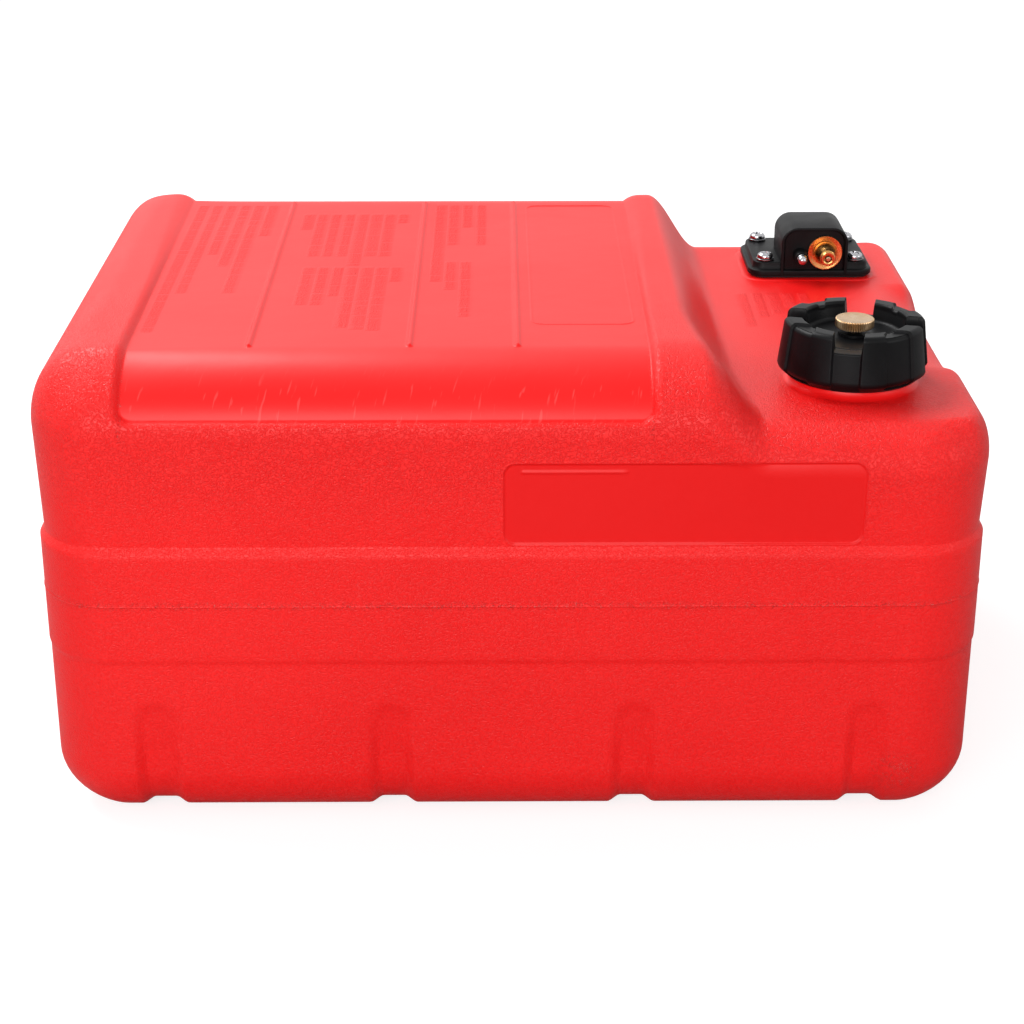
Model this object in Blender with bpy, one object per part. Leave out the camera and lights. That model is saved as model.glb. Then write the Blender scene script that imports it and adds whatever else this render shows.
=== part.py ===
"""Portable outboard fuel tank: moulded tank, screw filler cap with a vent, and fuel joint.

Metres, +Z up. The origin is the middle of the underside, and the front faces -Y.
"""

import math

import bmesh
import bpy
import numpy as np
from mathutils import Matrix, Vector

# Clearances and shared working sizes
gap = 0.0003
sink = 0.0015
overrun = 0.010
round_segments = 40
fine_segments = 24

# Tank body, over its belt
tank_length = 0.460
tank_depth = 0.350
crown_height = 0.240
deck_drop = 0.0325
wall = 0.0045
corner_radius = 0.037
crown_run = 0.044
crown_end_run = 0.028
crown_fall = 0.036
deck_run = 0.022
deck_end_run = 0.010
deck_back_run = 0.0413
deck_fall = 0.022
deck_back_fall = 0.036
foot_run = 0.030
foot_end_run = 0.038
foot_rise = 0.030
widest_cell = 0.050
border_shares = (0, 0.02, 0.09, 0.2, 0.36, 0.58, 0.8, 1)
inner_border_shares = (0.5, 0.8, 0.95, 1)

# Ramp from the crown down to the deck, wider near the front and back walls
ramp_from_right = 0.1485
ramp_width = 0.030
ramp_flare = 0.009
flare_reach = 0.100

# Belt round the middle
band_low = 0.092
band_high = 0.1465
band_proud = 0.0007
waist_depth = 0.0018
band_bevel = 0.004

# Panel sunk in the crown, and the beads that run across it
panel_recess = 0.0035
panel_from_left = 0.044
panel_from_right = 0.164
panel_edge = 0.002
bead_width = 0.005
bead_height = 0.0016
bead_run = 0.262
bead_shares = (0.24, 0.545, 0.748)

# Grooves that run under the tank and up both long walls
groove_width = 0.024
groove_depth = 0.0037
groove_top = 0.069
groove_slope = 0.003
groove_place_shares = (-0.767, -0.262, 0.262, 0.767)
groove_section_shares = ((-1, -0.12), (-0.7, 0.75), (-0.4, 1), (0.4, 1), (0.7, 0.75), (1, -0.12))

# Hand grip sunk in the right end's upper edge
grip_depth = 0.010
grip_half = 0.075
grip_reach = 0.028
grip_from_front = 0.165

# Filler neck and its thread
filler_from_right = 0.062
filler_from_front = 0.077
neck_radius = 0.0295
neck_bore = 0.025
neck_height = 0.0185
neck_flare = 0.0045
thread_lead = 0.008
thread_turns = 1.0
thread_height = 0.0013
thread_width = 0.0028
thread_from_deck = 0.0085

# Filler cap
cap_radius = 0.037
cap_top_radius = 0.0345
cap_chamfer = 0.004
cap_height = 0.028
cap_lift = 0.0045
cap_bore = 0.0316
cap_thread_turns = 0.85
cap_thread_start_share = 0.3
cap_well_radius = 0.024
cap_well_depth = 0.009
cap_gasket_thickness = 0.0016
cap_gasket_inner = 0.0245
cap_gasket_outer = 0.0305
cap_turned = math.radians(-14)
lug_count = 4
lug_gap = 0.014
lug_gap_depth = 0.0085
lug_relief = 0.002

# Vent screw in the middle of the cap
vent_knob_radius = 0.0095
vent_knob_height = 0.0045
vent_knob_from_cap_top = 0.0005
vent_knurls = 30
vent_knurl_depth = 0.0005
vent_stem_radius = 0.0025
vent_stem_length = 0.0155
vent_bush_radius = 0.005
vent_bush_flange_radius = 0.008
vent_bush_flange = 0.0013
vent_bush_reach = 0.002
vent_ring_wire = 0.0008
vent_clip_radius = 0.0048
vent_clip_thickness = 0.0008
vent_clip_groove = 0.0006
vent_lead = 0.001

# Fuel joint: pad, gasket, base plate, hood
joint_from_right = 0.0245
joint_from_back = 0.0455
plate_depth = 0.057
plate_rim = 0.0045
plate_height = 0.0075
plate_corner = 0.009
plate_step = 0.0015
pad_margin = 0.003
pad_rise = 0.0006
joint_gasket_thickness = 0.0008
joint_gasket_margin = 0.0015
hood_width = 0.0375
hood_spare_left = 0.0028
hood_depth = 0.036
hood_height = 0.028
hood_corner = 0.009
hood_wall = 0.0027
hood_side = 0.0018
hood_recess = 0.0020
hood_floor = 0.0011
spigot_radius = 0.012
spigot_length = 0.007

# Screws that hold the joint down
screw_from_front = 0.008
screw_head_radius = 0.0044
screw_head_height = 0.0030
screw_shank_radius = 0.0023
screw_length = 0.016
screw_slot_width = 0.0010
screw_slot_length = 0.0046
screw_slot_depth = 0.0014
washer_radius = 0.0050
washer_thickness = 0.0010
insert_radius = 0.0040
insert_length = 0.0085
boss_wall = 0.0032

# Connector on the joint
nipple_from_hood_left = 0.0248
nipple_height = 0.0134
nipple_tip_radius = 0.0040
nipple_cone_radius = 0.0068
nipple_collar = 0.0016
nipple_length = 0.0125
nipple_tail_radius = 0.0048
nipple_tail_length = 0.0295
nipple_chamber_radius = 0.0028
nipple_port_radius = 0.0015
nipple_tip_bore = 0.0019
nipple_tip_wall = 0.0045
seal_groove_depth = 0.0011
seal_groove_width = 0.0018
seal_groove_from_wall = 0.0040
seal_wire = 0.00045
flange_radius = 0.0098
flange_thickness = 0.0012
channel_from_wall = 0.0250
channel_radius = 0.0026
pin_from_hood_left = 0.0108
pin_height = 0.0120
pin_radius = 0.0029
pin_length = 0.0052
pin_boss_length = 0.0085
pin_boss_wall = 0.0009
pin_tail_radius = 0.0020
pin_tail_length = 0.0080

# Check valve in the connector
plunger_head_radius = 0.0024
plunger_head_length = 0.0040
plunger_tip_radius = 0.0014
plunger_tip_proud = 0.0005
spring_turns = 12
spring_wire = 0.00022
spring_radius = 0.0019

# Suction tube and strainer
pickup_radius = 0.0030
pickup_bore = 0.0021
pickup_insertion = 0.0052
strainer_radius = 0.0075
strainer_wall = 0.0012
strainer_height = 0.022
strainer_clearance = 0.0055
strainer_slots = 3
strainer_slot_width = 0.0030

# Places and sizes that follow from those above
right = tank_length / 2
front = -tank_depth / 2
back = tank_depth / 2
half_length = right - band_proud
half_depth = back - band_proud
deck_height = crown_height - deck_drop
ramp_start = right - ramp_from_right
panel_left = panel_from_left - right
panel_right = right - panel_from_right
panel_height = crown_height - panel_recess
filler = Vector((right - filler_from_right, front + filler_from_front, deck_height))
neck_top = deck_height + neck_height
cap_low = deck_height + cap_lift
cap_top = cap_low + cap_height
cap_floor = cap_top - cap_well_depth
cap_roof = neck_top + gap + cap_gasket_thickness + gap
screw_inset = plate_rim + washer_radius
right_ear = screw_inset + washer_radius + gap
left_ear = right_ear + hood_spare_left
plate_length = left_ear + hood_width + right_ear
joint_x = right - joint_from_right - plate_length / 2
joint_y = back - joint_from_back - plate_depth / 2
pad_top = deck_height + pad_rise
plate_low = pad_top + gap + joint_gasket_thickness + gap
plate_top = plate_low + plate_height
plate_front = joint_y - plate_depth / 2
hood_left = joint_x - plate_length / 2 + left_ear
recess_wall = plate_front + hood_recess
nipple = Vector((hood_left + nipple_from_hood_left, recess_wall, plate_low + nipple_height))
pin = Vector((hood_left + pin_from_hood_left, recess_wall, plate_low + pin_height))
channel_y = recess_wall + channel_from_wall
screw_places = [
    (
        joint_x + side * (plate_length / 2 - screw_inset),
        joint_y + end * (plate_depth / 2 - screw_from_front),
    )
    for end in (-1, 1)
    for side in (-1, 1)
]


# Scene and materials


def clear_scene():
    for item in list(bpy.data.objects):
        bpy.data.objects.remove(item)


def finish(name, colour, roughness, metallic=0.0):
    material = bpy.data.materials.new(name)
    material.use_nodes = True
    shader = material.node_tree.nodes["Principled BSDF"]
    shader.inputs["Base Color"].default_value = (*colour, 1)
    shader.inputs["Roughness"].default_value = roughness
    shader.inputs["Metallic"].default_value = metallic
    return material


def materials():
    return {
        "red": finish("red polyethylene", (0.80, 0.012, 0.012), 0.45),
        "black": finish("black nylon", (0.012, 0.012, 0.013), 0.40),
        "rubber": finish("black rubber", (0.010, 0.010, 0.010), 0.70),
        "brass": finish("brass", (0.72, 0.52, 0.24), 0.25, 1.0),
        "copper": finish("polished copper", (0.78, 0.28, 0.06), 0.15, 1.0),
        "steel": finish("chromed steel", (0.75, 0.75, 0.76), 0.15, 1.0),
    }


def empty(name, place):
    """An unseen axis that moving pieces hang from."""
    axis = bpy.data.objects.new(name, None)
    bpy.context.collection.objects.link(axis)
    axis.location = place
    return axis


def solid(name, points, faces, material, parent=None):
    """One object from points and faces, shaded smooth except at sharp edges."""
    mesh = bpy.data.meshes.new(name)
    mesh.from_pydata([tuple(point) for point in points], [], faces)
    mesh.validate()
    mesh.shade_smooth()
    mesh.set_sharp_from_angle(angle=math.radians(35))
    item = bpy.data.objects.new(name, mesh)
    bpy.context.collection.objects.link(item)
    item.data.materials.append(material)
    if parent:
        item.parent = parent
    return item


def helper(item):
    """Mark a solid as a tool that shapes others and isn't a piece itself."""
    item.hide_render = True
    item.display_type = "WIRE"
    return item


def boolean(item, operation, tools):
    """Join tools to a solid, or cut them from it."""
    group = bpy.data.collections.new(f"{item.name} {operation.lower()}")
    for tool in tools:
        group.objects.link(tool)
    change = item.modifiers.new(operation.lower(), "BOOLEAN")
    change.operation = operation
    change.operand_type = "COLLECTION"
    change.collection = group
    change.solver = "EXACT"


def join(item, tools):
    boolean(item, "UNION", [helper(tool) for tool in tools])


def cut(item, tools):
    boolean(item, "DIFFERENCE", [helper(tool) for tool in tools])


# General shapes


def smooth(value):
    """Ease from 0 to 1 while the value goes from 0 to 1."""
    share = np.clip(value, 0, 1)
    return share * share * (3 - 2 * share)


def turned(name, profile, material, parent=None, segments=round_segments, closed=False):
    """Turn (radius, height) points about Z, from the top down the outside.

    An open profile starts and ends on the axis. A closed one goes round a ring's section.
    """
    inner = profile if closed else profile[1:-1]
    points = []
    for step in range(segments):
        angle = 2 * math.pi * step / segments
        points += [(r * math.cos(angle), r * math.sin(angle), z) for r, z in inner]
    count = len(inner)
    faces = []
    for step in range(segments):
        here = step * count
        there = (step + 1) % segments * count
        for k in range(count if closed else count - 1):
            after = (k + 1) % count
            faces.append((here + k, here + after, there + after, there + k))
    if not closed:
        top = len(points)
        points += [(0, 0, profile[0][1]), (0, 0, profile[-1][1])]
        for step in range(segments):
            here = step * count
            there = (step + 1) % segments * count
            faces.append((top, here, there))
            faces.append((top + 1, there + count - 1, here + count - 1))
    return solid(name, points, faces, material, parent)


def rod(name, radius, low, high, material, place=(0, 0, 0), parent=None, segments=fine_segments):
    """A plain round bar standing on Z."""
    profile = [(0, high), (radius, high), (radius, low), (0, low)]
    item = turned(name, profile, material, parent, segments)
    item.location = place
    return item


def sleeve(name, radius, bore, low, high, material, segments=fine_segments):
    """A plain tube standing on Z."""
    profile = [(radius, high), (radius, low), (bore, low), (bore, high)]
    return turned(name, profile, material, segments=segments, closed=True)


def ring(name, radius, wire, material, parent=None, segments=fine_segments):
    """A seal of round section."""
    sides = 8
    section = [
        (radius + wire * math.cos(angle), -wire * math.sin(angle))
        for angle in (2 * math.pi * side / sides for side in range(sides))
    ]
    return turned(name, section, material, parent, segments, closed=True)


def rounded_outline(length, depth, radius, steps=5):
    """Points of a rectangle with round corners, anticlockwise round the origin."""
    points = []
    for corner, (side, end) in enumerate(((1, 1), (-1, 1), (-1, -1), (1, -1))):
        for step in range(steps + 1):
            angle = math.pi / 2 * (corner + step / steps)
            x = side * (length / 2 - radius) + radius * math.cos(angle)
            y = end * (depth / 2 - radius) + radius * math.sin(angle)
            points.append((x, y))
    return points


def stacked(name, layers, material):
    """A solid from outlines of equal length, each (points, height), lowest first."""
    count = len(layers[0][0])
    points = [(x, y, z) for outline, z in layers for x, y in outline]
    faces = [tuple(reversed(range(count)))]
    for layer in range(len(layers) - 1):
        low = layer * count
        for k in range(count):
            after = (k + 1) % count
            faces.append((low + k, low + after, low + count + after, low + count + k))
    faces.append(tuple(range(len(points) - count, len(points))))
    return solid(name, points, faces, material)


def plate(name, length, depth, radius, low, high, material, centre):
    """A flat plate with round corners."""
    outline = rounded_outline(length, depth, radius)
    item = stacked(name, [(outline, low), (outline, high)], material)
    item.location = (*centre, 0)
    return item


def box(name, low, high, material):
    """A plain box between two corners."""
    outline = [(low[0], low[1]), (high[0], low[1]), (high[0], high[1]), (low[0], high[1])]
    return stacked(name, [(outline, low[2]), (outline, high[2])], material)


def helix(name, radius, section, lead, turns, start, material, per_turn, outward=1):
    """Sweep a section of (outward, upward) points along a helix about Z."""
    steps = round(per_turn * turns)
    points = []
    for step in range(steps + 1):
        angle = 2 * math.pi * turns * step / steps
        rise = start + lead * turns * step / steps
        for out, up in section:
            r = radius + outward * out
            points.append((r * math.cos(angle), r * math.sin(angle), rise + up))
    count = len(section)
    faces = [tuple(range(count)), tuple(reversed(range(len(points) - count, len(points))))]
    for step in range(steps):
        here = step * count
        for k in range(count):
            after = (k + 1) % count
            faces.append((here + k, here + count + k, here + count + after, here + after))
    if outward < 0:
        faces = [tuple(reversed(face)) for face in faces]
    return solid(name, points, faces, material)


# Tank surface


def grid_lines(half, stations):
    """Places of the grid lines across the tank, close together in the rounded borders."""
    borders = [half - corner_radius * share for share in border_shares]
    inside = [place for place in stations if abs(place) < half - corner_radius]
    lines = sorted(inside + borders + [-place for place in borders])
    least = panel_edge / 2
    kept = [lines[0]]
    for place in lines[1:]:
        spare = place - kept[-1]
        if spare < least and abs(place) < half - corner_radius / 2:
            continue
        fillers = math.ceil(spare / widest_cell)
        kept += [kept[-1] + spare * step / fillers for step in range(1, fillers + 1)]
    return np.array(kept)


def bend_corners(x, y, inset):
    """Bend the grid's square corners round, and say which way the nearest wall faces."""
    radius = corner_radius - inset
    across = half_length - corner_radius
    along = half_depth - corner_radius
    p = np.clip((np.abs(x) - across) / radius, 0, 1)
    q = np.clip((np.abs(y) - along) / radius, 0, 1)
    out_x = p * np.sqrt(1 - q * q / 2)
    out_y = q * np.sqrt(1 - p * p / 2)
    bent_x = np.sign(x) * (np.minimum(np.abs(x), across) + radius * out_x)
    bent_y = np.sign(y) * (np.minimum(np.abs(y), along) + radius * out_y)
    to_end = half_length - inset - np.abs(bent_x)
    to_side = half_depth - inset - np.abs(bent_y)
    cornered = (p > 0) & (q > 0)
    reach = np.hypot(out_x, out_y)
    spare = np.where(cornered, radius * (1 - reach), np.minimum(to_end, to_side))
    least = np.where(reach > 0, reach, 1)
    facing_x = np.where(cornered, out_x / least, to_end < to_side) * np.sign(x)
    facing_y = np.where(cornered, out_y / least, to_end >= to_side) * np.sign(y)
    side_share = to_end**4 / (to_end**4 + to_side**4 + radius**4 / 10**9)
    return bent_x, bent_y, spare, facing_x, facing_y, side_share


def ramp_share(x, y, inset):
    """0 on the crown, 1 on the deck."""
    flare = smooth((flare_reach - half_depth - y) / flare_reach)
    start = ramp_start + ramp_flare * flare - inset / 2
    return smooth((x - start) / ramp_width)


def grip_share(x, y):
    """How deep the hand grip is at a place, as a share of its depth."""
    along = (y - front - grip_from_front) / grip_half
    return smooth(1 - np.abs(along) ** 3) * smooth((x - half_length + grip_reach) / grip_reach)


def panel_share(x, y, spare, inset):
    """1 on the sunk panel, 0 off it."""
    edge_x = np.minimum(x - panel_left, panel_right - x) / panel_edge
    edge_y = (spare - corner_radius / 100) / (corner_radius / 100)
    return smooth(edge_x) * smooth(edge_y)


def top_surface(xs, ys, inset):
    """Points of the tank's top, with the way each point's nearest wall faces."""
    x, y = np.meshgrid(xs, ys, indexing="ij")
    x, y, spare, facing_x, facing_y, side_share = bend_corners(x, y, inset)
    lower = ramp_share(x, y, inset)
    toward_back = smooth(2 * y / half_depth)
    crown_reach = crown_end_run + (crown_run - crown_end_run) * side_share
    deck_side = deck_run + (deck_back_run - deck_run) * toward_back
    deck_reach = deck_end_run + (deck_side - deck_end_run) * side_share
    deck_down = deck_fall + (deck_back_fall - deck_fall) * toward_back * side_share
    run = crown_reach + (deck_reach - crown_reach) * lower - inset
    fall = crown_fall + (deck_down - crown_fall) * lower - inset
    level = crown_height - deck_drop * lower - grip_depth * grip_share(x, y) - inset
    lean = np.clip(1 - spare / run, 0, 1)
    upright = np.sqrt(1 - lean**2)
    z = level - fall * (1 - upright)
    out, up = lean / run, upright / fall
    sunk = panel_recess * panel_share(x, y, spare, inset) / np.hypot(out, up)
    points = np.stack([x - sunk * out * facing_x, y - sunk * out * facing_y, z - sunk * up], -1)
    return points, np.stack([facing_x, facing_y], -1)


def border(grid):
    """A grid's edge points in one loop, anticlockwise from above."""
    return np.concatenate([grid[:-1, 0], grid[-1, :-1], grid[:0:-1, -1], grid[0, :0:-1]])


def tank_skin(name, xs, ys, inset, foot_steps, material):
    """The tank's outer surface, or its inner one where inset is the wall."""
    top, facing = top_surface(xs, ys, inset)
    wide, deep = top.shape[:2]
    index = np.arange(wide * deep).reshape(wide, deep)
    points = [tuple(point) for point in top.reshape(-1, 3)]
    faces = [
        (index[i, j], index[i + 1, j], index[i + 1, j + 1], index[i, j + 1])
        for i in range(wide - 1)
        for j in range(deep - 1)
    ]
    edge, outward = border(top), border(facing)
    rows = [
        (band_high + band_bevel, -waist_depth),
        (band_high, band_proud),
        (band_low, band_proud),
        (band_low - band_bevel, 0),
    ]
    for step in range(foot_steps + 1):
        angle = math.pi / 2 * step / foot_steps
        run = np.array([foot_end_run - inset, foot_run - inset])
        rows.append((foot_rise - (foot_rise - inset) * math.sin(angle), run * (math.cos(angle) - 1)))
    above = border(index)
    for height, proud in rows:
        first = len(points)
        spread = edge[:, :2] + outward * proud
        points += [(px, py, height) for px, py in spread]
        below = np.arange(first, len(points))
        for k in range(len(above)):
            after = (k + 1) % len(above)
            faces.append((above[k], below[k], below[after], above[after]))
        above = below
    faces.append(tuple(reversed(above.tolist())))
    return solid(name, points, [tuple(int(k) for k in face) for face in faces], material)


def groove(name, place, inset, material):
    """A tool shaped like one groove: down the front wall, under the tank and up the back."""
    half = groove_width / 2 + inset
    away = groove_depth
    loops = []
    for across, deep in groove_section_shares:
        round_end = half * (1 - math.sqrt(1 - across * across))
        top = groove_top + inset - round_end
        depth = groove_depth * deep
        inner = [(half_depth - inset + away, top), (half_depth - inset - depth, top - groove_slope)]
        run, rise = foot_run - inset - depth, foot_rise - inset - depth
        for step in range(4):
            angle = math.pi / 2 * step / 3
            bend = half_depth - foot_run + run * math.cos(angle)
            inner.append((bend, foot_rise - rise * math.sin(angle)))
        outer = [(half_depth - inset + away, inset - away)]
        side = [(place + across * half, y, z) for y, z in inner]
        other = [(px, -y, z) for px, y, z in reversed(side)]
        floor = [(place + across * half, end * y, z) for y, z in outer for end in (-1, 1)]
        loops.append(side + other + floor)
    count = len(loops[0])
    points = [point for loop in loops for point in loop]
    faces = [tuple(range(count)), tuple(reversed(range(len(points) - count, len(points))))]
    for layer in range(len(loops) - 1):
        here = layer * count
        for k in range(count):
            after = (k + 1) % count
            faces.append((here + k, here + count + k, here + count + after, here + after))
    tool = solid(name, points, faces, material)
    face_out(tool)
    return tool


def face_out(item):
    """Turn every face of a closed mesh outwards."""
    mesh = bmesh.new()
    mesh.from_mesh(item.data)
    bmesh.ops.recalc_face_normals(mesh, faces=mesh.faces)
    mesh.to_mesh(item.data)
    mesh.free()


# Tank


def neck(material):
    """The filler neck, solid until its bore is cut, with a flare where it leaves the deck."""
    foot = neck_radius + neck_flare
    profile = [
        (0, neck_height),
        (neck_radius - sink, neck_height),
        (neck_radius, neck_height - sink),
        (neck_radius, neck_flare),
        (neck_radius + neck_flare / 4, neck_flare / 2),
        (foot, gap),
        (foot, -wall / 2),
        (0, -wall / 2),
    ]
    item = turned("neck tool", profile, material)
    item.location = filler
    return item


def thread_section():
    """A thread's section: wide where it leaves the wall, narrow at its crest."""
    root, crest = thread_width / 2, thread_width / 4
    return [(-sink, -root), (thread_height, -crest), (thread_height, crest), (-sink, root)]


def neck_thread(material):
    item = helix(
        "neck thread tool",
        neck_radius,
        thread_section(),
        thread_lead,
        thread_turns,
        thread_from_deck,
        material,
        round_segments,
    )
    item.location = filler
    return item


def joint_pad(material):
    outline_length = plate_length + 2 * pad_margin
    outline_depth = plate_depth + 2 * pad_margin
    radius = plate_corner + pad_margin
    low = deck_height - wall / 2
    return plate("pad tool", outline_length, outline_depth, radius, low, pad_top, material, (joint_x, joint_y))


def beads(material):
    """Half-round beads along the sunk panel."""
    found = []
    for number, share in enumerate(bead_shares):
        place = panel_left + share * (panel_right - panel_left)
        section = [(-bead_width / 2, -sink), (bead_width / 2, -sink)]
        for step in range(5):
            angle = math.pi * step / 4
            section.append((bead_width / 2 * math.cos(angle), bead_height * math.sin(angle)))
        outline = [(place + across, panel_height + up) for across, up in section]
        low, high = -bead_run / 2, bead_run / 2
        bar = stacked(f"bead tool {number}", [(outline, -high), (outline, -low)], material)
        bar.rotation_euler = (math.pi / 2, 0, 0)
        found.append(bar)
    return found


def insert_bosses(material):
    """Bosses left in the wall for the screws' inserts, cut from the hollow."""
    radius = insert_radius + gap + boss_wall
    low = pad_top - insert_length - boss_wall
    high = deck_height
    return [
        rod(f"boss tool {number}", radius, low, high, material, (*place, 0), segments=16)
        for number, place in enumerate(screw_places)
    ]


def hollow(material):
    """The inside of the tank, with the grooves and bosses standing into it."""
    xs = grid_lines(half_length, panel_stations() + ramp_stations(3))
    ys = grid_lines(half_depth, [])
    item = tank_skin("hollow tool", thin_lines(xs, wall), thin_lines(ys, wall), wall, 3, material)
    grooves = [
        groove(f"inner groove tool {number}", share * half_length, wall, material)
        for number, share in enumerate(groove_place_shares)
    ]
    cut(item, grooves + insert_bosses(material))
    return item


def panel_stations():
    return [
        panel_left,
        panel_left + panel_edge,
        panel_right - panel_edge,
        panel_right,
    ]


def ramp_stations(count):
    """Grid lines down the ramp."""
    return [ramp_start + (ramp_width + ramp_flare) * step / count for step in range(count + 1)]


def thin_lines(lines, inset):
    """Fewer grid lines, drawn in for the inner surface: every other line in each border."""
    half = lines[-1]
    zone = half - corner_radius
    kept = [place for place in lines if abs(place) <= zone + gap]
    borders = [zone + (corner_radius - inset) * share for share in inner_border_shares]
    return np.array([-place for place in reversed(borders)] + kept + borders)


def tank_openings(material):
    """The filler's bore, the joint's opening and the holes for the inserts."""
    bore = rod(
        "bore tool", neck_bore, -wall * 2, neck_height + overrun, material, filler, segments=round_segments
    )
    opening = rod(
        "opening tool",
        spigot_radius + gap * 3,
        deck_height - wall * 2,
        pad_top + overrun,
        material,
        (nipple.x, channel_y, 0),
    )
    holes = [
        rod(
            f"insert hole tool {number}",
            insert_radius + gap,
            pad_top - insert_length - gap,
            pad_top + overrun,
            material,
            (*place, 0),
            segments=16,
        )
        for number, place in enumerate(screw_places)
    ]
    return [bore, opening] + holes


def tank_shell(material):
    xs = grid_lines(half_length, panel_stations() + ramp_stations(6))
    ys = grid_lines(half_depth, [crown_run - half_depth, half_depth - crown_run])
    item = tank_skin("tank_shell", xs, ys, 0, 4, material)
    join(item, [neck(material), neck_thread(material), joint_pad(material)] + beads(material))
    grooves = [
        groove(f"groove tool {number}", share * half_length, 0, material)
        for number, share in enumerate(groove_place_shares)
    ]
    cut(item, grooves + [hollow(material)] + tank_openings(material))


# Filler cap and vent


def lug_tools(material):
    """What is cut from the cap's rim between its lugs, and the shallower reliefs below."""
    found = []
    for number in range(lug_count):
        turn = Matrix.Rotation(cap_turned + 2 * math.pi * number / lug_count, 4, "Z")
        through = box(
            f"lug gap tool {number}",
            (cap_well_radius - 2 * sink, -lug_gap / 2, cap_height - lug_gap_depth),
            (cap_radius + overrun, lug_gap / 2, cap_height + overrun),
            material,
        )
        relief = box(
            f"lug relief tool {number}",
            (cap_radius - lug_relief, -lug_gap / 2, -overrun),
            (cap_radius + overrun, lug_gap / 2, cap_height - lug_gap_depth + sink),
            material,
        )
        for tool in (through, relief):
            tool.data.transform(turn)
            tool.location = (filler.x, filler.y, cap_low)
            found.append(tool)
    return found


def cap_shell(axis, material):
    """The cap's skirt, roof and rim, with its thread inside and four gaps in the rim."""
    roof = cap_roof - cap_low
    floor = cap_floor - cap_low
    hole = vent_bush_radius + gap
    profile = [
        (cap_top_radius - sink, cap_height),
        (cap_top_radius, cap_height - sink),
        (cap_radius, cap_chamfer),
        (cap_radius - cap_chamfer, 0),
        (cap_bore, 0),
        (cap_bore, roof),
        (hole, roof),
        (hole, floor),
        (cap_well_radius, floor),
        (cap_well_radius + sink / 2, cap_height),
    ]
    item = turned("cap_shell", profile, material, axis, closed=True)
    item.location.z = cap_low
    thread = helix(
        "cap thread tool",
        cap_bore,
        thread_section(),
        thread_lead,
        cap_thread_turns,
        thread_from_deck + thread_lead * (cap_thread_start_share - 1 / 2),
        material,
        round_segments,
        outward=-1,
    )
    thread.location = filler
    thread.rotation_euler.z = 2 * math.pi * cap_thread_start_share
    join(item, [thread])
    cut(item, lug_tools(material))


def cap_gasket(axis, material):
    item = sleeve(
        "cap_gasket", cap_gasket_outer, cap_gasket_inner, 0, cap_gasket_thickness, material, round_segments
    )
    item.parent = axis
    item.location.z = neck_top + gap


def vent_bush(axis, material):
    """The bush that the vent screw runs in, with a flange on the cap's floor."""
    floor = cap_floor + gap
    low = cap_roof - vent_bush_reach - floor
    bore = vent_stem_radius + gap
    profile = [
        (bore, low),
        (bore, vent_bush_flange),
        (vent_bush_flange_radius, vent_bush_flange),
        (vent_bush_flange_radius, 0),
        (vent_bush_radius, 0),
        (vent_bush_radius, low),
    ]
    item = turned("vent_bush", profile, material, axis, fine_segments, closed=True)
    item.location.z = floor


def knurled_outline(radius):
    """A circle with a shallow tooth for each knurl."""
    points = []
    for step in range(2 * vent_knurls):
        angle = math.pi * step / vent_knurls
        r = radius - vent_knurl_depth * (step % 2)
        points.append((r * math.cos(angle), r * math.sin(angle)))
    return points


def vent_knob(axis, material):
    """Knurled knob and stem in one piece, with a groove for the clip near the stem's end."""
    knob_low = cap_top - vent_knob_from_cap_top - vent_knob_height
    edge = vent_knurl_depth / vent_knob_radius
    full, small = knurled_outline(vent_knob_radius), knurled_outline(vent_knob_radius * (1 - edge))
    bevel = vent_knurl_depth
    layers = [
        (small, 0),
        (full, bevel),
        (full, vent_knob_height - bevel),
        (small, vent_knob_height),
    ]
    item = stacked("vent_knob", layers, material)
    item.parent = axis
    item.location.z = knob_low
    neck_low = clip_low() - gap - knob_low
    neck_high = clip_low() + vent_clip_thickness + gap - knob_low
    waist = vent_stem_radius - vent_clip_groove
    profile = [
        (0, vent_knob_height / 2),
        (vent_stem_radius, vent_knob_height / 2),
        (vent_stem_radius, neck_high),
        (waist, neck_high),
        (waist, neck_low),
        (vent_stem_radius, neck_low),
        (vent_stem_radius, -vent_stem_length),
        (0, -vent_stem_length),
    ]
    stem = turned("vent stem tool", profile, material, segments=fine_segments)
    stem.location = (filler.x, filler.y, knob_low)
    join(item, [stem])


def clip_low():
    """Underside of the clip's place on the stem, below the bush with the vent's travel spare."""
    return cap_roof - vent_bush_reach - 3 * vent_lead - vent_clip_thickness


def vent_o_ring(axis, material):
    radius = vent_stem_radius + gap + vent_ring_wire
    item = ring("vent_o_ring", radius, vent_ring_wire, material, axis)
    item.location.z = cap_floor + gap + vent_bush_flange + gap + vent_ring_wire


def vent_clip(axis, material):
    """An open ring that snaps into the stem's groove."""
    inner = vent_stem_radius - vent_clip_groove + gap
    steps = 20
    opening = math.radians(50)
    outline = []
    for radius, order in ((vent_clip_radius, 1), (inner, -1)):
        for step in list(range(steps + 1))[::order]:
            angle = opening / 2 + (2 * math.pi - opening) * step / steps
            outline.append((radius * math.cos(angle), radius * math.sin(angle)))
    item = stacked("vent_clip", [(outline, 0), (outline, vent_clip_thickness)], material)
    item.parent = axis
    item.location.z = clip_low()


# Fuel joint


def hood_outline(left, width, low, high, radius):
    """The hood's front outline, in X and height, with two round upper corners."""
    points = [(left, low), (left + width, low)]
    for centre, start in ((left + width - radius, 0), (left + radius, math.pi / 2)):
        for step in range(6):
            angle = start + math.pi / 2 * step / 5
            points.append((centre + radius * math.cos(angle), high - radius + radius * math.sin(angle)))
    return points


def along_y(name, outline, near, far, material):
    """A solid from an outline in X and height, from one Y to another."""
    item = stacked(name, [(outline, -far), (outline, -near)], material)
    item.rotation_euler = (math.pi / 2, 0, 0)
    return item


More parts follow.
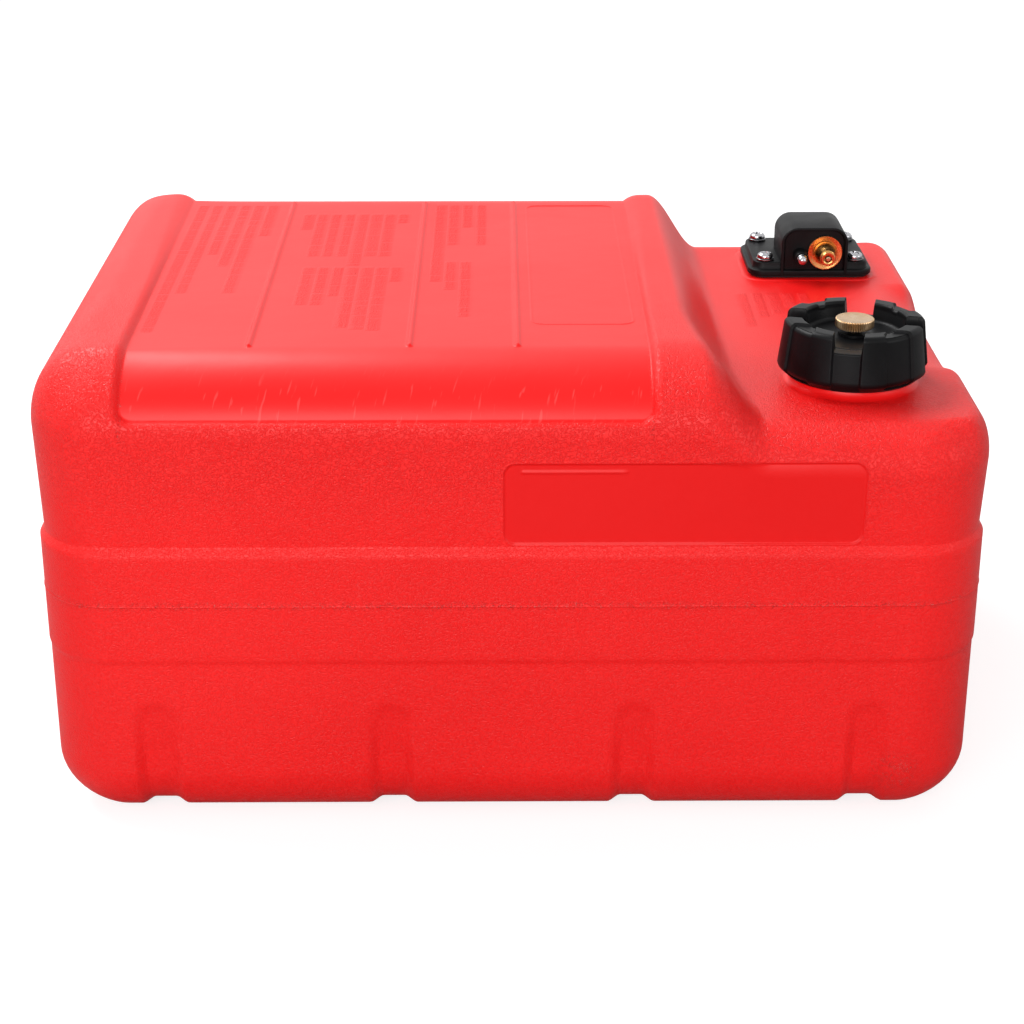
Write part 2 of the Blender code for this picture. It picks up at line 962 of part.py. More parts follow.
def joint_housing(material):
    """Base plate, hood and spigot in one moulding, with the recess and the bores cut out."""
    full = rounded_outline(plate_length, plate_depth, plate_corner)
    small = rounded_outline(
        plate_length - 2 * plate_step, plate_depth - 2 * plate_step, plate_corner - plate_step
    )
    half_up = plate_low + plate_height / 2
    item = stacked(
        "joint_housing",
        [(full, plate_low), (full, half_up), (small, half_up + plate_step), (small, plate_top)],
        material,
    )
    item.location = (joint_x, joint_y, 0)
    hood_top = plate_low + hood_height
    hood = along_y(
        "hood tool",
        hood_outline(hood_left, hood_width, plate_low + sink / 2, hood_top, hood_corner),
        plate_front - gap,
        plate_front + hood_depth,
        material,
    )
    spigot = rod(
        "spigot tool",
        spigot_radius,
        plate_low - spigot_length,
        plate_low + sink,
        material,
        (nipple.x, channel_y, 0),
    )
    boss = rod("pin boss tool", pin_radius + pin_boss_wall, -sink, pin_boss_length, material, pin)
    boss.rotation_euler = (math.pi / 2, 0, 0)
    recess = along_y(
        "recess tool",
        hood_outline(
            hood_left + hood_side,
            hood_width - 2 * hood_side,
            plate_low + hood_floor,
            hood_top - hood_wall,
            hood_corner - hood_side,
        ),
        plate_front - overrun,
        recess_wall,
        material,
    )
    join(item, [hood, spigot])
    cut(item, [recess])
    join(item, [boss])
    cut(item, housing_bores(material))


def housing_bores(material):
    """Bores for the connector, the pin, the suction tube and the screws."""
    seat = rod(
        "seat tool", nipple_tail_radius + gap, -nipple_tail_length - gap, overrun / 2, material, nipple
    )
    pin_hole = rod(
        "pin hole tool",
        pin_tail_radius + gap,
        -pin_tail_length - gap,
        pin_boss_length + overrun / 2,
        material,
        pin,
        segments=16,
    )
    for tool in (seat, pin_hole):
        tool.rotation_euler = (math.pi / 2, 0, 0)
    low = plate_low - spigot_length
    channel = rod(
        "channel tool", channel_radius, low - overrun, nipple.z, material, (nipple.x, channel_y, 0), segments=16
    )
    socket = rod(
        "socket tool",
        pickup_radius + gap,
        low - overrun,
        low + pickup_insertion + gap,
        material,
        (nipple.x, channel_y, 0),
        segments=20,
    )
    holes = [
        rod(
            f"screw hole tool {number}",
            screw_shank_radius + 2 * gap,
            plate_low - overrun,
            plate_top + overrun,
            material,
            (*place, 0),
            segments=16,
        )
        for number, place in enumerate(screw_places)
    ]
    return [seat, pin_hole, channel, socket] + holes


def joint_gasket(material):
    """Flat gasket with holes for the spigot and the screws."""
    low = pad_top + gap
    item = plate(
        "joint_gasket",
        plate_length - 2 * joint_gasket_margin,
        plate_depth - 2 * joint_gasket_margin,
        plate_corner - joint_gasket_margin,
        low,
        low + joint_gasket_thickness,
        material,
        (joint_x, joint_y),
    )
    centre = rod(
        "gasket hole tool",
        spigot_radius + 2 * gap,
        low - overrun,
        low + overrun,
        material,
        (nipple.x, channel_y, 0),
    )
    holes = [
        rod(
            f"gasket screw tool {number}",
            screw_shank_radius + 2 * gap,
            low - overrun,
            low + overrun,
            material,
            (*place, 0),
            segments=12,
        )
        for number, place in enumerate(screw_places)
    ]
    cut(item, [centre] + holes)


def screw(number, place, material):
    """Pan-head screw with a crossed slot."""
    head_low = plate_top + gap + washer_thickness + gap
    crown_share = 0.55
    profile = [
        (0, screw_head_height),
        (screw_head_radius * crown_share, screw_head_height * (1 - (1 - crown_share) / 3)),
        (screw_head_radius * (1 - crown_share / 5), screw_head_height * crown_share),
        (screw_head_radius, screw_head_height * (1 - crown_share) / 2),
        (screw_head_radius, 0),
        (screw_shank_radius, 0),
        (screw_shank_radius, -screw_length + screw_shank_radius / 2),
        (screw_shank_radius / 2, -screw_length),
        (0, -screw_length),
    ]
    item = turned(f"flange_screw_{number}", profile, material, segments=16)
    item.location = (*place, head_low)
    tools = []
    slots = {"a": (screw_slot_length, screw_slot_width), "b": (screw_slot_width, screw_slot_length)}
    for name, (length, width) in slots.items():
        tool = box(
            f"slot tool {number} {name}",
            (-length / 2, -width / 2, screw_head_height - screw_slot_depth),
            (length / 2, width / 2, screw_head_height + overrun),
            material,
        )
        tool.location = item.location
        tools.append(tool)
    cut(item, tools)


def screw_set(steel, brass):
    """Four screws, each with its washer and the insert that it screws into."""
    bore = screw_shank_radius + gap
    for number, place in enumerate(screw_places, 1):
        screw(number, place, steel)
        washer = sleeve(
            f"screw_washer_{number}", washer_radius, bore, 0, washer_thickness, steel, 20
        )
        washer.location = (*place, plate_top + gap)
        insert = sleeve(f"insert_{number}", insert_radius, bore, -insert_length, 0, brass, 16)
        insert.location = (*place, pad_top)


def fuel_nipple(material):
    """Male connector: cone in front of the disc, tail in the housing, valve chamber inside."""
    base = flange_thickness + 2 * gap
    tip = base + nipple_length
    groove_high = -seal_groove_from_wall
    groove_low = groove_high - seal_groove_width
    waist = nipple_tail_radius - seal_groove_depth
    chamber_high = tip - nipple_tip_wall
    profile = [
        (nipple_tip_bore, tip),
        (nipple_tip_radius - gap, tip),
        (nipple_tip_radius, tip - gap),
        (nipple_tip_radius, tip - nipple_collar),
        (nipple_tip_radius - 2 * gap, tip - nipple_collar - gap),
        (nipple_tip_radius - 2 * gap, tip - 2 * nipple_collar),
        (nipple_tip_radius, tip - 2 * nipple_collar - gap),
        (nipple_cone_radius, base + nipple_collar),
        (nipple_cone_radius, base),
        (nipple_tail_radius, base),
        (nipple_tail_radius, groove_high),
        (waist, groove_high),
        (waist, groove_low),
        (nipple_tail_radius, groove_low),
        (nipple_tail_radius, -nipple_tail_length),
        (0, -nipple_tail_length),
    ]
    chamber_low = -nipple_tail_length + sink
    inside = [
        (0, chamber_low),
        (nipple_chamber_radius, chamber_low),
        (nipple_chamber_radius, chamber_high - gap),
        (nipple_tip_bore, chamber_high + gap),
    ]
    item = turned("fuel_nipple", inside + profile, material, segments=fine_segments)
    item.rotation_euler = (math.pi / 2, 0, 0)
    item.location = nipple
    port = rod(
        "port tool",
        nipple_port_radius,
        -nipple_tail_radius - overrun,
        0,
        material,
        (nipple.x, channel_y, nipple.z),
        segments=12,
    )
    cut(item, [port])


def valve_places():
    """Heights along the connector's axis of the plunger's seat and of the chamber's end."""
    tip = flange_thickness + 2 * gap + nipple_length
    return tip - nipple_tip_wall - 2 * gap, -nipple_tail_length + sink, tip


def check_valve_plunger(axis, material):
    seat, _, tip = valve_places()
    profile = [
        (0, tip + plunger_tip_proud),
        (plunger_tip_radius - plunger_tip_proud, tip + plunger_tip_proud),
        (plunger_tip_radius, tip),
        (plunger_tip_radius, seat),
        (plunger_head_radius, seat - gap),
        (plunger_head_radius, seat - plunger_head_length),
        (0, seat - plunger_head_length),
    ]
    item = turned("check_valve_plunger", profile, material, axis, 16)
    item.rotation_euler = (math.pi / 2, 0, 0)


def check_valve_spring(axis, material):
    """Coil from the chamber's end to the plunger's head."""
    seat, chamber_end, _ = valve_places()
    low = chamber_end + gap + spring_wire
    high = seat - plunger_head_length - gap - spring_wire
    sides = 5
    section = [
        (spring_wire * math.cos(angle), spring_wire * math.sin(angle))
        for angle in (2 * math.pi * side / sides for side in range(sides))
    ]
    lead = (high - low) / spring_turns
    item = helix("check_valve_spring", spring_radius, section, lead, spring_turns, low, material, 10)
    face_out(item)
    item.parent = axis
    item.rotation_euler = (math.pi / 2, 0, 0)


def connector(metals):
    """Disc, nipple, its seal, the locating pin and the check valve."""
    disc = sleeve(
        "connector_flange",
        flange_radius,
        nipple_tail_radius + gap,
        gap,
        gap + flange_thickness,
        metals["copper"],
        round_segments,
    )
    disc.location = nipple
    disc.rotation_euler = (math.pi / 2, 0, 0)
    fuel_nipple(metals["brass"])
    radius = nipple_tail_radius - seal_groove_depth + gap / 2 + seal_wire
    seal = ring("nipple_o_ring", radius, seal_wire, metals["rubber"])
    seal.rotation_euler = (math.pi / 2, 0, 0)
    seal.location = nipple + Vector((0, seal_groove_from_wall + seal_groove_width / 2, 0))
    locating_pin(metals["steel"])
    axis = empty("valve axis", nipple)
    check_valve_plunger(axis, metals["brass"])
    check_valve_spring(axis, metals["steel"])


def locating_pin(material):
    """Pin with a domed tip, its tail in the housing."""
    base = pin_boss_length + gap
    tip = base + pin_length
    dome = [
        (pin_radius * math.sin(angle), tip - pin_radius * (1 - math.cos(angle)))
        for angle in (math.pi / 2 * step / 4 for step in range(5))
    ]
    profile = dome + [
        (pin_radius, base),
        (pin_tail_radius, base),
        (pin_tail_radius, -pin_tail_length),
        (0, -pin_tail_length),
    ]
    item = turned("locating_pin", profile, material, segments=20)
    item.location = pin
    item.rotation_euler = (math.pi / 2, 0, 0)


def pickup(plastic, mesh_material):
    """Suction tube from the joint to the bottom, and the strainer on its end."""
    place = (nipple.x, channel_y, 0)
    low = wall + groove_depth + strainer_clearance / 3
    top = plate_low - spigot_length + pickup_insertion
    tube_low = low + strainer_wall + strainer_clearance
    tube = sleeve("pickup_tube", pickup_radius, pickup_bore, tube_low, top, plastic, 16)
    tube.location = place
    inner = strainer_radius - strainer_wall
    collar = pickup_radius + gap
    high = low + strainer_height
    profile = [
        (0, low + strainer_wall),
        (inner, low + strainer_wall),
        (inner, high - strainer_wall),
        (collar, high - strainer_wall),
        (collar, high),
        (strainer_radius, high),
        (strainer_radius, low),
        (0, low),
    ]
    cage = turned("pickup_strainer", profile, mesh_material, segments=fine_segments)
    face_out(cage)
    cage.location = place
    tools = []
    for number in range(strainer_slots):
        tool = box(
            f"strainer slot tool {number}",
            (-strainer_radius * 2, -strainer_slot_width / 2, low + 3 * strainer_wall),
            (strainer_radius * 2, strainer_slot_width / 2, high - 3 * strainer_wall),
            mesh_material,
        )
        tool.rotation_euler = (0, 0, math.pi * number / strainer_slots)
        tool.location = place
        tools.append(tool)
    cut(cage, tools)


def main():
    clear_scene()
    metals = materials()
    tank_shell(metals["red"])
    filler_axis = empty("filler axis", (filler.x, filler.y, 0))
    cap_shell(filler_axis, metals["black"])
    cap_gasket(filler_axis, metals["rubber"])
    vent_bush(filler_axis, metals["black"])
    vent_knob(filler_axis, metals["brass"])
    vent_o_ring(filler_axis, metals["rubber"])
    vent_clip(filler_axis, metals["steel"])
    joint_gasket(metals["rubber"])
    joint_housing(metals["black"])
    screw_set(metals["steel"], metals["brass"])
    connector(metals)
    pickup(metals["black"], metals["steel"])


main()
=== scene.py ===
"""Looks of the outboard fuel tank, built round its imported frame.

Metres, +Z up, the front faces -Y. Places come from the frame's boxes where a node gives them.
"""

import math

import bpy
import numpy as np
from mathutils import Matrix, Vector

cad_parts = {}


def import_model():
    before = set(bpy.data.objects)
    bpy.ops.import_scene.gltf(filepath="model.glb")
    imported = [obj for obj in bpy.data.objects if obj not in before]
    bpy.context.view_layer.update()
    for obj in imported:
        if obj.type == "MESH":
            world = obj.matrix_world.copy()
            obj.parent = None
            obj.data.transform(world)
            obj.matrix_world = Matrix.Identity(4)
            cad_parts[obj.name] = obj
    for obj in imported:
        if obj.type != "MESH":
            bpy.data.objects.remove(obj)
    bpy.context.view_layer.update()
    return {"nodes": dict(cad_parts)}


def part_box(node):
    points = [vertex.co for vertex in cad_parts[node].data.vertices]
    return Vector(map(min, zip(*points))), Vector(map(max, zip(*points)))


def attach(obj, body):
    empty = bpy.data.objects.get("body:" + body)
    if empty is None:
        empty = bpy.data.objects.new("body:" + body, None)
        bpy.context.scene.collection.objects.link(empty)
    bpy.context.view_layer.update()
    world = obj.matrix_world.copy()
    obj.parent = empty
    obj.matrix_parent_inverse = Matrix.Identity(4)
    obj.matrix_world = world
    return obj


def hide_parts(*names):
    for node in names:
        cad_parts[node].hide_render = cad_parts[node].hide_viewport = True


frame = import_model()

# Boxes of the nodes that other sizes are read from
_, tank_box_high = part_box("tank_shell")
cap_box_low, cap_box_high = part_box("cap_shell")
knob_box_low, knob_box_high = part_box("vent_knob")
_, housing_box_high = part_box("joint_housing")
gasket_box_low, gasket_box_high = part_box("joint_gasket")
nipple_box_low, nipple_box_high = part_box("fuel_nipple")
disc_box_low, disc_box_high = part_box("connector_flange")
pin_box_low, pin_box_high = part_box("locating_pin")

# Tank body, over its belt
band_proud = 0.0007
waist_depth = 0.0018
half_length = tank_box_high.x - band_proud
half_depth = tank_box_high.y - band_proud
crown_height = 0.240
deck_drop = 0.0325
deck_height = crown_height - deck_drop
wall = 0.0045
corner_radius = 0.037
crown_run = 0.044
crown_end_run = 0.028
crown_fall = 0.036
deck_run = 0.022
deck_end_run = 0.010
deck_back_run = 0.0413
deck_fall = 0.022
deck_back_fall = 0.036
foot_run = 0.030
foot_end_run = 0.038
foot_rise = 0.030
ramp_start = 0.0815
ramp_width = 0.030
ramp_flare = 0.009
flare_reach = 0.100
band_low = 0.092
band_high = 0.1465
band_bevel = 0.0036
seam_height = 0.120
seam_half = 0.0005
seam_proud = 0.0003
belt_proud = band_proud - seam_proud
lower_inset = 0.0003
grip_depth = 0.010
grip_half = 0.075
grip_reach = 0.028
grip_middle = -0.010

# Panel sunk in the crown, with its beads and its plain outline
panel_middle = -0.0587
panel_half = 0.1265
panel_taper = 0.0028
panel_recess = 0.0035
panel_corner = 0.006
panel_front_turn = math.radians(16)
panel_lip = 0.0048
panel_lip_back = 0.0100
panel_lip_power = 2.4
bead_rows = ((-0.1254, 0.0021), (-0.0488, 0.0021), (0.0026, 0.0024))
bead_height = 0.0014
bead_end = 0.131
outline_middle = (0.035, 0.0135)
outline_half = (0.025, 0.1115)
outline_corner = 0.006
line_half = 0.0006
line_height = 0.0004

# Label panel on the front wall and the level bar in it
label_middle = (0.0808, 0.1720)
label_half = (0.0852, 0.0209)
label_corner = 0.006
label_recess = 0.0007
level_middle = (0.0290, 0.1884)
level_half = (0.0253, 0.0011)
level_proud = 0.0007

# Rubbed patch low on the front wall
rubbed_place = (0.190, 0.028)
rubbed_reach = 0.011

# Grooves under the tank and up both long walls
groove_places = (-0.1745, -0.0596, 0.0596, 0.1745)
groove_half = 0.012
groove_depth = 0.0036
groove_top = 0.069
groove_edge = 0.0068
groove_fade = 0.040
groove_least = 0.3

# Pad under the fuel joint
pad_margin = 0.003
pad_rise = 0.0006
pad_corner = 0.012
pad_edge = 0.0007

# Filler neck
neck_radius = 0.0295
neck_bore = 0.025
neck_height = 0.0185
neck_flare = 0.0045
neck_patch = 0.0365
neck_rim = 0.0010

# Filler thread, on the neck and in the cap
thread_lead = 0.008
thread_start = 0.0085
thread_proud = 0.0013
thread_sunk = 0.0004
thread_ease = 6

# Filler cap
cap_chamfer = 0.004
cap_radius = 0.037
cap_top_radius = 0.0345
cap_bore = 0.0316
cap_well_radius = 0.024
cap_well_depth = 0.009
cap_roof_drop = 0.0118
cap_hole = 0.0053
cap_round = 0.0027
cap_turned = math.radians(-14)
lug_count = 4
lug_gap_half = 0.007
lug_gap_depth = 0.0085
lug_relief = 0.002
lug_side = 0.0009
channel_half = math.radians(13)
channel_depth = 0.0012

# Vent screw
knob_radius = 0.0095
knob_thick = 0.0045
knob_dish = 0.00012
knob_teeth = 46
knob_tooth = 0.0008
knob_bevel = 0.0006
stem_radius = 0.0025
stem_waist = 0.0019
stem_groove_drop = 0.0178
stem_groove = 0.0014

# Fuel joint
plate_over_gasket = 0.0015
plate_corner = 0.009
plate_step = 0.0015
plate_height = 0.0075
plate_round = 0.0009
plate_step_share = 0.45
hood_left = 0.1532
hood_right = 0.1907
hood_depth = 0.036
hood_over_plate = 0.0003
hood_corner = 0.009
hood_side = 0.0018
hood_wall = 0.0016
hood_recess = 0.0020
hood_floor = 0.0011
hood_round = 0.0012
hood_lip = 0.0006
spigot_radius = 0.012
spigot_edge = 0.0008
spigot_drop = 0.007
channel_from_wall = 0.0250
pin_boss_radius = 0.0038
pin_boss_length = 0.0085
pin_shank_radius = 0.0020
pin_shank_length = 0.0078

# Nipple, as (radius, distance): its root from the disc's face, its tip back from its end
nipple_tail_length = 0.0295
nipple_tail = (0.0047, 0.001)
nipple_root = ((0.0048, 0), (0.0066, 0), (0.0068, 0.0003))
nipple_cone = ((0.0067, 0.0008), (0.0044, 0.0050))
nipple_tip = (
    ((0.0041, 0.0036), (0.0036, 0.0033), (0.0034, 0.0026), (0.0034, 0.0022), (0.0037, 0.0017))
    + ((0.0040, 0.0014), (0.0040, 0.0004), (0.0037, 0), (0.0028, 0), (0.0026, 0.0002))
    + ((0.0021, 0.0003), (0.0019, 0.0006), (0.0019, 0.0044))
)
disc_bore = 0.0050
disc_edge = 0.0003

# Screws
screw_head_radius = 0.0044
screw_head_height = 0.0030
screw_head_edge = 0.0002
screw_rim_share = 0.3
screw_shank_radius = 0.0023
screw_point = 0.0012
cross_half = 0.0029
cross_arm = 0.00075
cross_depth = 0.0020
cross_edge = 0.00035
washer_bevel = 0.00025
washer_room = 0.0003

# Camera and stage
camera_place = (-0.007, -1.126, 0.569)
camera_turn = (math.radians(67.2), 0, math.radians(-0.4))
camera_lens = 77.34
camera_sensor = 36.0
floor_size = 6.0
floor_grey = 0.42
floor_glow = 0.765
world_light = 0.42
lamps = (
    ("overhead", (-0.9, 0.75, 1.7), (0, -0.05, 0.2), (1.5, 0.7), 34),
    ("front", (-0.5, -2.2, 0.9), (0, 0, 0.1), (1.6, 1.0), 35),
    ("fill", (1.8, -1.0, 0.9), (0, 0, 0.1), (0.8, 0.8), 5),
)

# Colours of the tank, and the names of its masks
tank_reds = ((0.84, 0.0058, 0.0062), (0.90, 0.0085, 0.0085))
# Painted shade: a darker red laid into the folds of the grain, where shade falls
painted_fold_shade = (0.50, 0.003, 0.003)
# Painted highlight: a lighter red on the raised pebbles of the grain, where light catches them
painted_pebble_highlight = (0.95, 0.05, 0.045)
mark_red = (0.58, 0.005, 0.005)
label_red = (0.76, 0.002, 0.002)
scratch_red = (0.95, 0.14, 0.13)
scuff_red = (0.95, 0.22, 0.20)
mask_names = ("grain_and_painted_light", "marks", "scratch", "deep", "scuff")

# Helpers


def centre_of(low, high):
    """The middle of a box."""
    return tuple((a + b) / 2 for a, b in zip(low, high))


def on_wall(low, high):
    """Where a box's middle falls on the back wall of the hood's recess."""
    x, _, z = centre_of(low, high)
    return x, recess_wall, z


filler = Vector((*centre_of(cap_box_low, cap_box_high)[:2], deck_height))
cap_low = cap_box_low.z
cap_top = cap_box_high.z
plate_middle = centre_of(gasket_box_low, gasket_box_high)[:2]
plate_half = tuple((b - a) / 2 + plate_over_gasket for a, b in zip(gasket_box_low, gasket_box_high))[:2]
plate_low = gasket_box_high.z + hood_over_plate
plate_front = gasket_box_low.y - plate_over_gasket
recess_wall = plate_front + hood_recess
disc_centre = on_wall(disc_box_low, disc_box_high)
pin_centre = on_wall(pin_box_low, pin_box_high)


def smooth(value):
    """Ease from 0 to 1 while the value goes from 0 to 1."""
    share = np.clip(value, 0, 1)
    return share * share * (3 - 2 * share)


def spread(low, high, step, marks=(), fine=0.0005, reach=0.003):
    """Places from low to high, closer together beside each mark."""
    places = [low]
    while places[-1] < high:
        here = places[-1]
        nearest = min((abs(here + fine - mark) for mark in marks), default=high - low + reach)
        ease = float(smooth((nearest - reach) / (2 * reach)))
        places.append(here + fine + (step - fine) * ease)
    scale = (high - low) / (places[-1] - low)
    return [low + (place - low) * scale for place in places]


def inside_round(across, along, half_across, half_along, corner):
    """Distance inside a rectangle with round corners, negative outside."""
    side = half_across - corner - np.abs(across)
    end = half_along - corner - np.abs(along)
    cornered = (side < 0) & (end < 0)
    return np.where(cornered, -np.hypot(side, end), np.minimum(side, end)) + corner


def put(name, data):
    """A new object in the scene."""
    item = bpy.data.objects.new(name, data)
    bpy.context.scene.collection.objects.link(item)
    return item


def place_mesh(name, points, faces, material, body, slot, nodes=(), sharp=None):
    """A piece from points and faces, riding on a body and hiding the CAD nodes it is drawn in place of."""
    mesh = bpy.data.meshes.new(name)
    mesh.from_pydata([tuple(map(float, point)) for point in points], [], faces)
    mesh.validate()
    mesh.shade_smooth()
    if sharp:
        mesh.set_sharp_from_angle(angle=math.radians(sharp))
    mesh.materials.append(material)
    piece = put(name, mesh)
    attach(piece, body)
    for node in nodes:
        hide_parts(node)
    return piece


def flipped(faces):
    """The same faces, turned to look the other way."""
    return [tuple(reversed(face)) for face in faces]


def strip(above, below):
    """Quads between two loops of point numbers."""
    count = len(above)
    return [(above[k], below[k], below[(k + 1) % count], above[(k + 1) % count]) for k in range(count)]


def ring_faces(loops, count, closed=False):
    """Quads between loops of equal length, each loop closed on itself."""
    faces = []
    for loop in range(loops if closed else loops - 1):
        here = range(loop * count, (loop + 1) * count)
        there = range((loop + 1) % loops * count, ((loop + 1) % loops + 1) * count)
        faces += strip(here, there)
    return flipped(faces)


def turned(profile, segments, centre, axis="Z", radius_change=None):
    """Points and faces of a profile of (radius, height) turned about an axis through a centre.

    The profile runs up the outside. With axis Y, height runs to the front.
    """
    angles = np.linspace(0, 2 * math.pi, segments, endpoint=False)
    points = []
    for r, h in profile:
        radii = radius_change(angles, r) if radius_change else np.full(segments, r)
        across, along = radii * np.cos(angles), radii * np.sin(angles)
        level = np.full(segments, h)
        rows = (across, along, level) if axis == "Z" else (across, -level, along)
        points.append(np.stack(rows, -1) + np.array(centre))
    return np.concatenate(points), ring_faces(len(profile), segments)


def cap_ends(points, faces, segments):
    """Close a turned surface's first and last loops."""
    last = len(points) - segments
    ends = [tuple(reversed(range(segments))), tuple(range(last, last + segments))]
    return points, faces + ends


def loft(loops):
    """Points and faces of a closed surface through loops of equal length."""
    count = len(loops[0])
    return cap_ends([point for loop in loops for point in loop], ring_faces(len(loops), count), count)


def turned_piece(name, profile, segments, centre, material, slot, nodes=(), axis="Z", sharp=40):
    """A closed turned piece on the tank. With axis Y it points to the front."""
    points, faces = cap_ends(*turned(profile, segments, centre, axis), segments)
    if axis == "Y":
        faces = flipped(faces)
    place_mesh(name, points, faces, material, "tank", slot, nodes, sharp)


def arc(centre, radius, start, end, steps):
    """Points of an arc in (radius, height), angles in degrees."""
    found = []
    for step in range(steps + 1):
        angle = math.radians(start + (end - start) * step / steps)
        found.append((centre[0] + radius * math.cos(angle), centre[1] + radius * math.sin(angle)))
    return found


def run_points(start, end, steps):
    """Points along a straight line, both ends included."""
    return [
        (start[0] + (end[0] - start[0]) * step / steps, start[1] + (end[1] - start[1]) * step / steps)
        for step in range(steps + 1)
    ]


# Materials


def add(tree, kind, inputs=None, **settings):
    """A shader node with its settings and its plain input values."""
    node = tree.nodes.new("ShaderNode" + kind)
    for key, value in settings.items():
        setattr(node, key, value)
    for key, value in (inputs or {}).items():
        if isinstance(value, bpy.types.NodeSocket):
            tree.links.new(value, node.inputs[key])
        else:
            node.inputs[key].default_value = value
    return node


def maths(tree, operation, a, b=0.0):
    return add(tree, "Math", {0: a, 1: b}, operation=operation).outputs[0]


def times(tree, a, b):
    return maths(tree, "MULTIPLY", a, b)


def ranged(tree, value, low, high, to_low=0, to_high=1):
    inputs = {"Value": value, "From Min": low, "From Max": high, "To Min": to_low, "To Max": to_high}
    return add(tree, "MapRange", inputs).outputs["Result"]


def noise(tree, place, scale, detail=2.0, distortion=0.0):
    inputs = {"Vector": place, "Scale": scale, "Detail": detail, "Distortion": distortion}
    return add(tree, "TexNoise", inputs).outputs[0]


def stretched(tree, place, scale):
    return add(tree, "VectorMath", {0: place, 1: scale}, operation="MULTIPLY").outputs[0]


def mixed(tree, share, a, b):
    node = add(tree, "Mix", {"Factor": share}, data_type="RGBA")
    for socket, value in ((node.inputs[6], a), (node.inputs[7], b)):
        if isinstance(value, bpy.types.NodeSocket):
            tree.links.new(value, socket)
        else:
            socket.default_value = (*value, 1)
    return node.outputs[2]


def bumped(tree, height, strength, distance, normal=None):
    inputs = {"Height": height, "Strength": strength, "Distance": distance}
    if normal:
        inputs["Normal"] = normal
    return add(tree, "Bump", inputs).outputs["Normal"]


def surface(name, metallic=0.0, specular=0.5, coat=0.0, coat_roughness=0.2):
    """A new material, its tree, its shader and its object coordinates."""
    material = bpy.data.materials.new(name)
    material.use_nodes = True
    tree = material.node_tree
    shader = tree.nodes["Principled BSDF"]
    shader.inputs["Metallic"].default_value = metallic
    shader.inputs["Specular IOR Level"].default_value = specular
    shader.inputs["Coat Weight"].default_value = coat
    shader.inputs["Coat Roughness"].default_value = coat_roughness
    place = add(tree, "TexCoord").outputs["Object"]
    return material, tree, shader, place


def set_up(tree, shader, colour, roughness, normal=None):
    tree.links.new(colour, shader.inputs["Base Color"])
    tree.links.new(roughness, shader.inputs["Roughness"])
    if normal:
        tree.links.new(normal, shader.inputs["Normal"])


def tank_plastic():
    """Red moulded polyethylene, with grain, marks, scratches and scuffs where its attributes say; the
    grain's folds carry painted shade and its pebbles a painted highlight.
    """
    material, tree, shader, place = surface("red polyethylene", specular=0.30)
    grain_and_painted_light, marks, scratch, deep, scuff = (
        add(tree, "Attribute", attribute_name=name).outputs["Fac"] for name in mask_names
    )
    wrinkle = noise(tree, place, 600, 1.0, 0.8)
    fold = maths(tree, "ABSOLUTE", maths(tree, "SUBTRACT", wrinkle, 0.5))
    pebble = ranged(tree, fold, 0.0, 0.10)
    fine = noise(tree, place, 1500)
    strokes = noise(tree, stretched(tree, place, (1.0, 0.5, 1.0)), 1000, 2.0, 1.0)
    slanted = add(tree, "VectorRotate", {"Vector": place, "Angle": 0.3}).outputs[0]
    lines = noise(tree, stretched(tree, slanted, (1.0, 0.12, 0.12)), 620, 1.0, 0.3)
    hits = times(tree, ranged(tree, lines, 0.66, 0.72), scratch)
    nicks = noise(tree, place, 760, 2.0, 2.5)
    chips = times(tree, ranged(tree, nicks, 0.60, 0.66), scuff)
    normal = None
    for height, strength, distance in (
        (times(tree, pebble, grain_and_painted_light), 0.55, 0.00045),
        (times(tree, fine, grain_and_painted_light), 0.30, 0.0003),
        (times(tree, strokes, marks), 0.8, 0.0007),
        (hits, -0.8, 0.0005),
        (chips, 0.9, 0.0008),
        (noise(tree, place, 45, 4.0), 0.10, 0.002),
    ):
        normal = bumped(tree, height, strength, distance, normal)
    cloud = noise(tree, place, 9, 3.0)
    red = mixed(tree, ranged(tree, cloud, 0.3, 0.7), *tank_reds)
    # The first two tints are painted light: painted shade in the grain's folds and a painted highlight on
    # its pebbles
    for share, tint in (
        (times(tree, ranged(tree, fold, 0.0, 0.035, 0.42, 0), grain_and_painted_light), painted_fold_shade),
        (times(tree, ranged(tree, fold, 0.10, 0.17, 0, 0.24), grain_and_painted_light), painted_pebble_highlight),
        (times(tree, ranged(tree, strokes, 0.3, 0.6, 0.55, 0.1), marks), mark_red),
        (times(tree, deep, 0.8), label_red),
        (times(tree, hits, 0.3), scratch_red),
        (times(tree, chips, 0.7), scuff_red),
    ):
        red = mixed(tree, share, red, tint)
    rough = maths(tree, "ADD", ranged(tree, cloud, 0.2, 0.8, 0.36, 0.44), times(tree, marks, 0.12))
    set_up(tree, shader, red, rough, normal)
    return material


def black_plastic(name, grain_scale, rough_low, rough_high):
    """Near-black moulded plastic with a fine spark texture and rubbed patches."""
    material, tree, shader, place = surface(name, specular=0.13)
    spark = noise(tree, place, grain_scale, 4.0)
    patch = noise(tree, place, 45, 4.0, 0.5)
    black = mixed(tree, ranged(tree, patch, 0.35, 0.75), (0.0022, 0.0022, 0.0026), (0.0050, 0.0050, 0.0058))
    rough = ranged(tree, patch, 0.3, 0.7, rough_low, rough_high)
    normal = bumped(tree, spark, 0.18, 0.0003)
    set_up(tree, shader, black, rough, normal)
    return material


def rubber():
    material, tree, shader, place = surface("black rubber", specular=0.2)
    bloom = noise(tree, place, 120, 5.0)
    fine = noise(tree, place, 1800, 3.0)
    black = mixed(tree, ranged(tree, bloom, 0.35, 0.7), (0.009, 0.009, 0.009), (0.019, 0.019, 0.020))
    rough = ranged(tree, bloom, 0.3, 0.7, 0.55, 0.75)
    set_up(tree, shader, black, rough, bumped(tree, fine, 0.2, 0.0002))
    return material


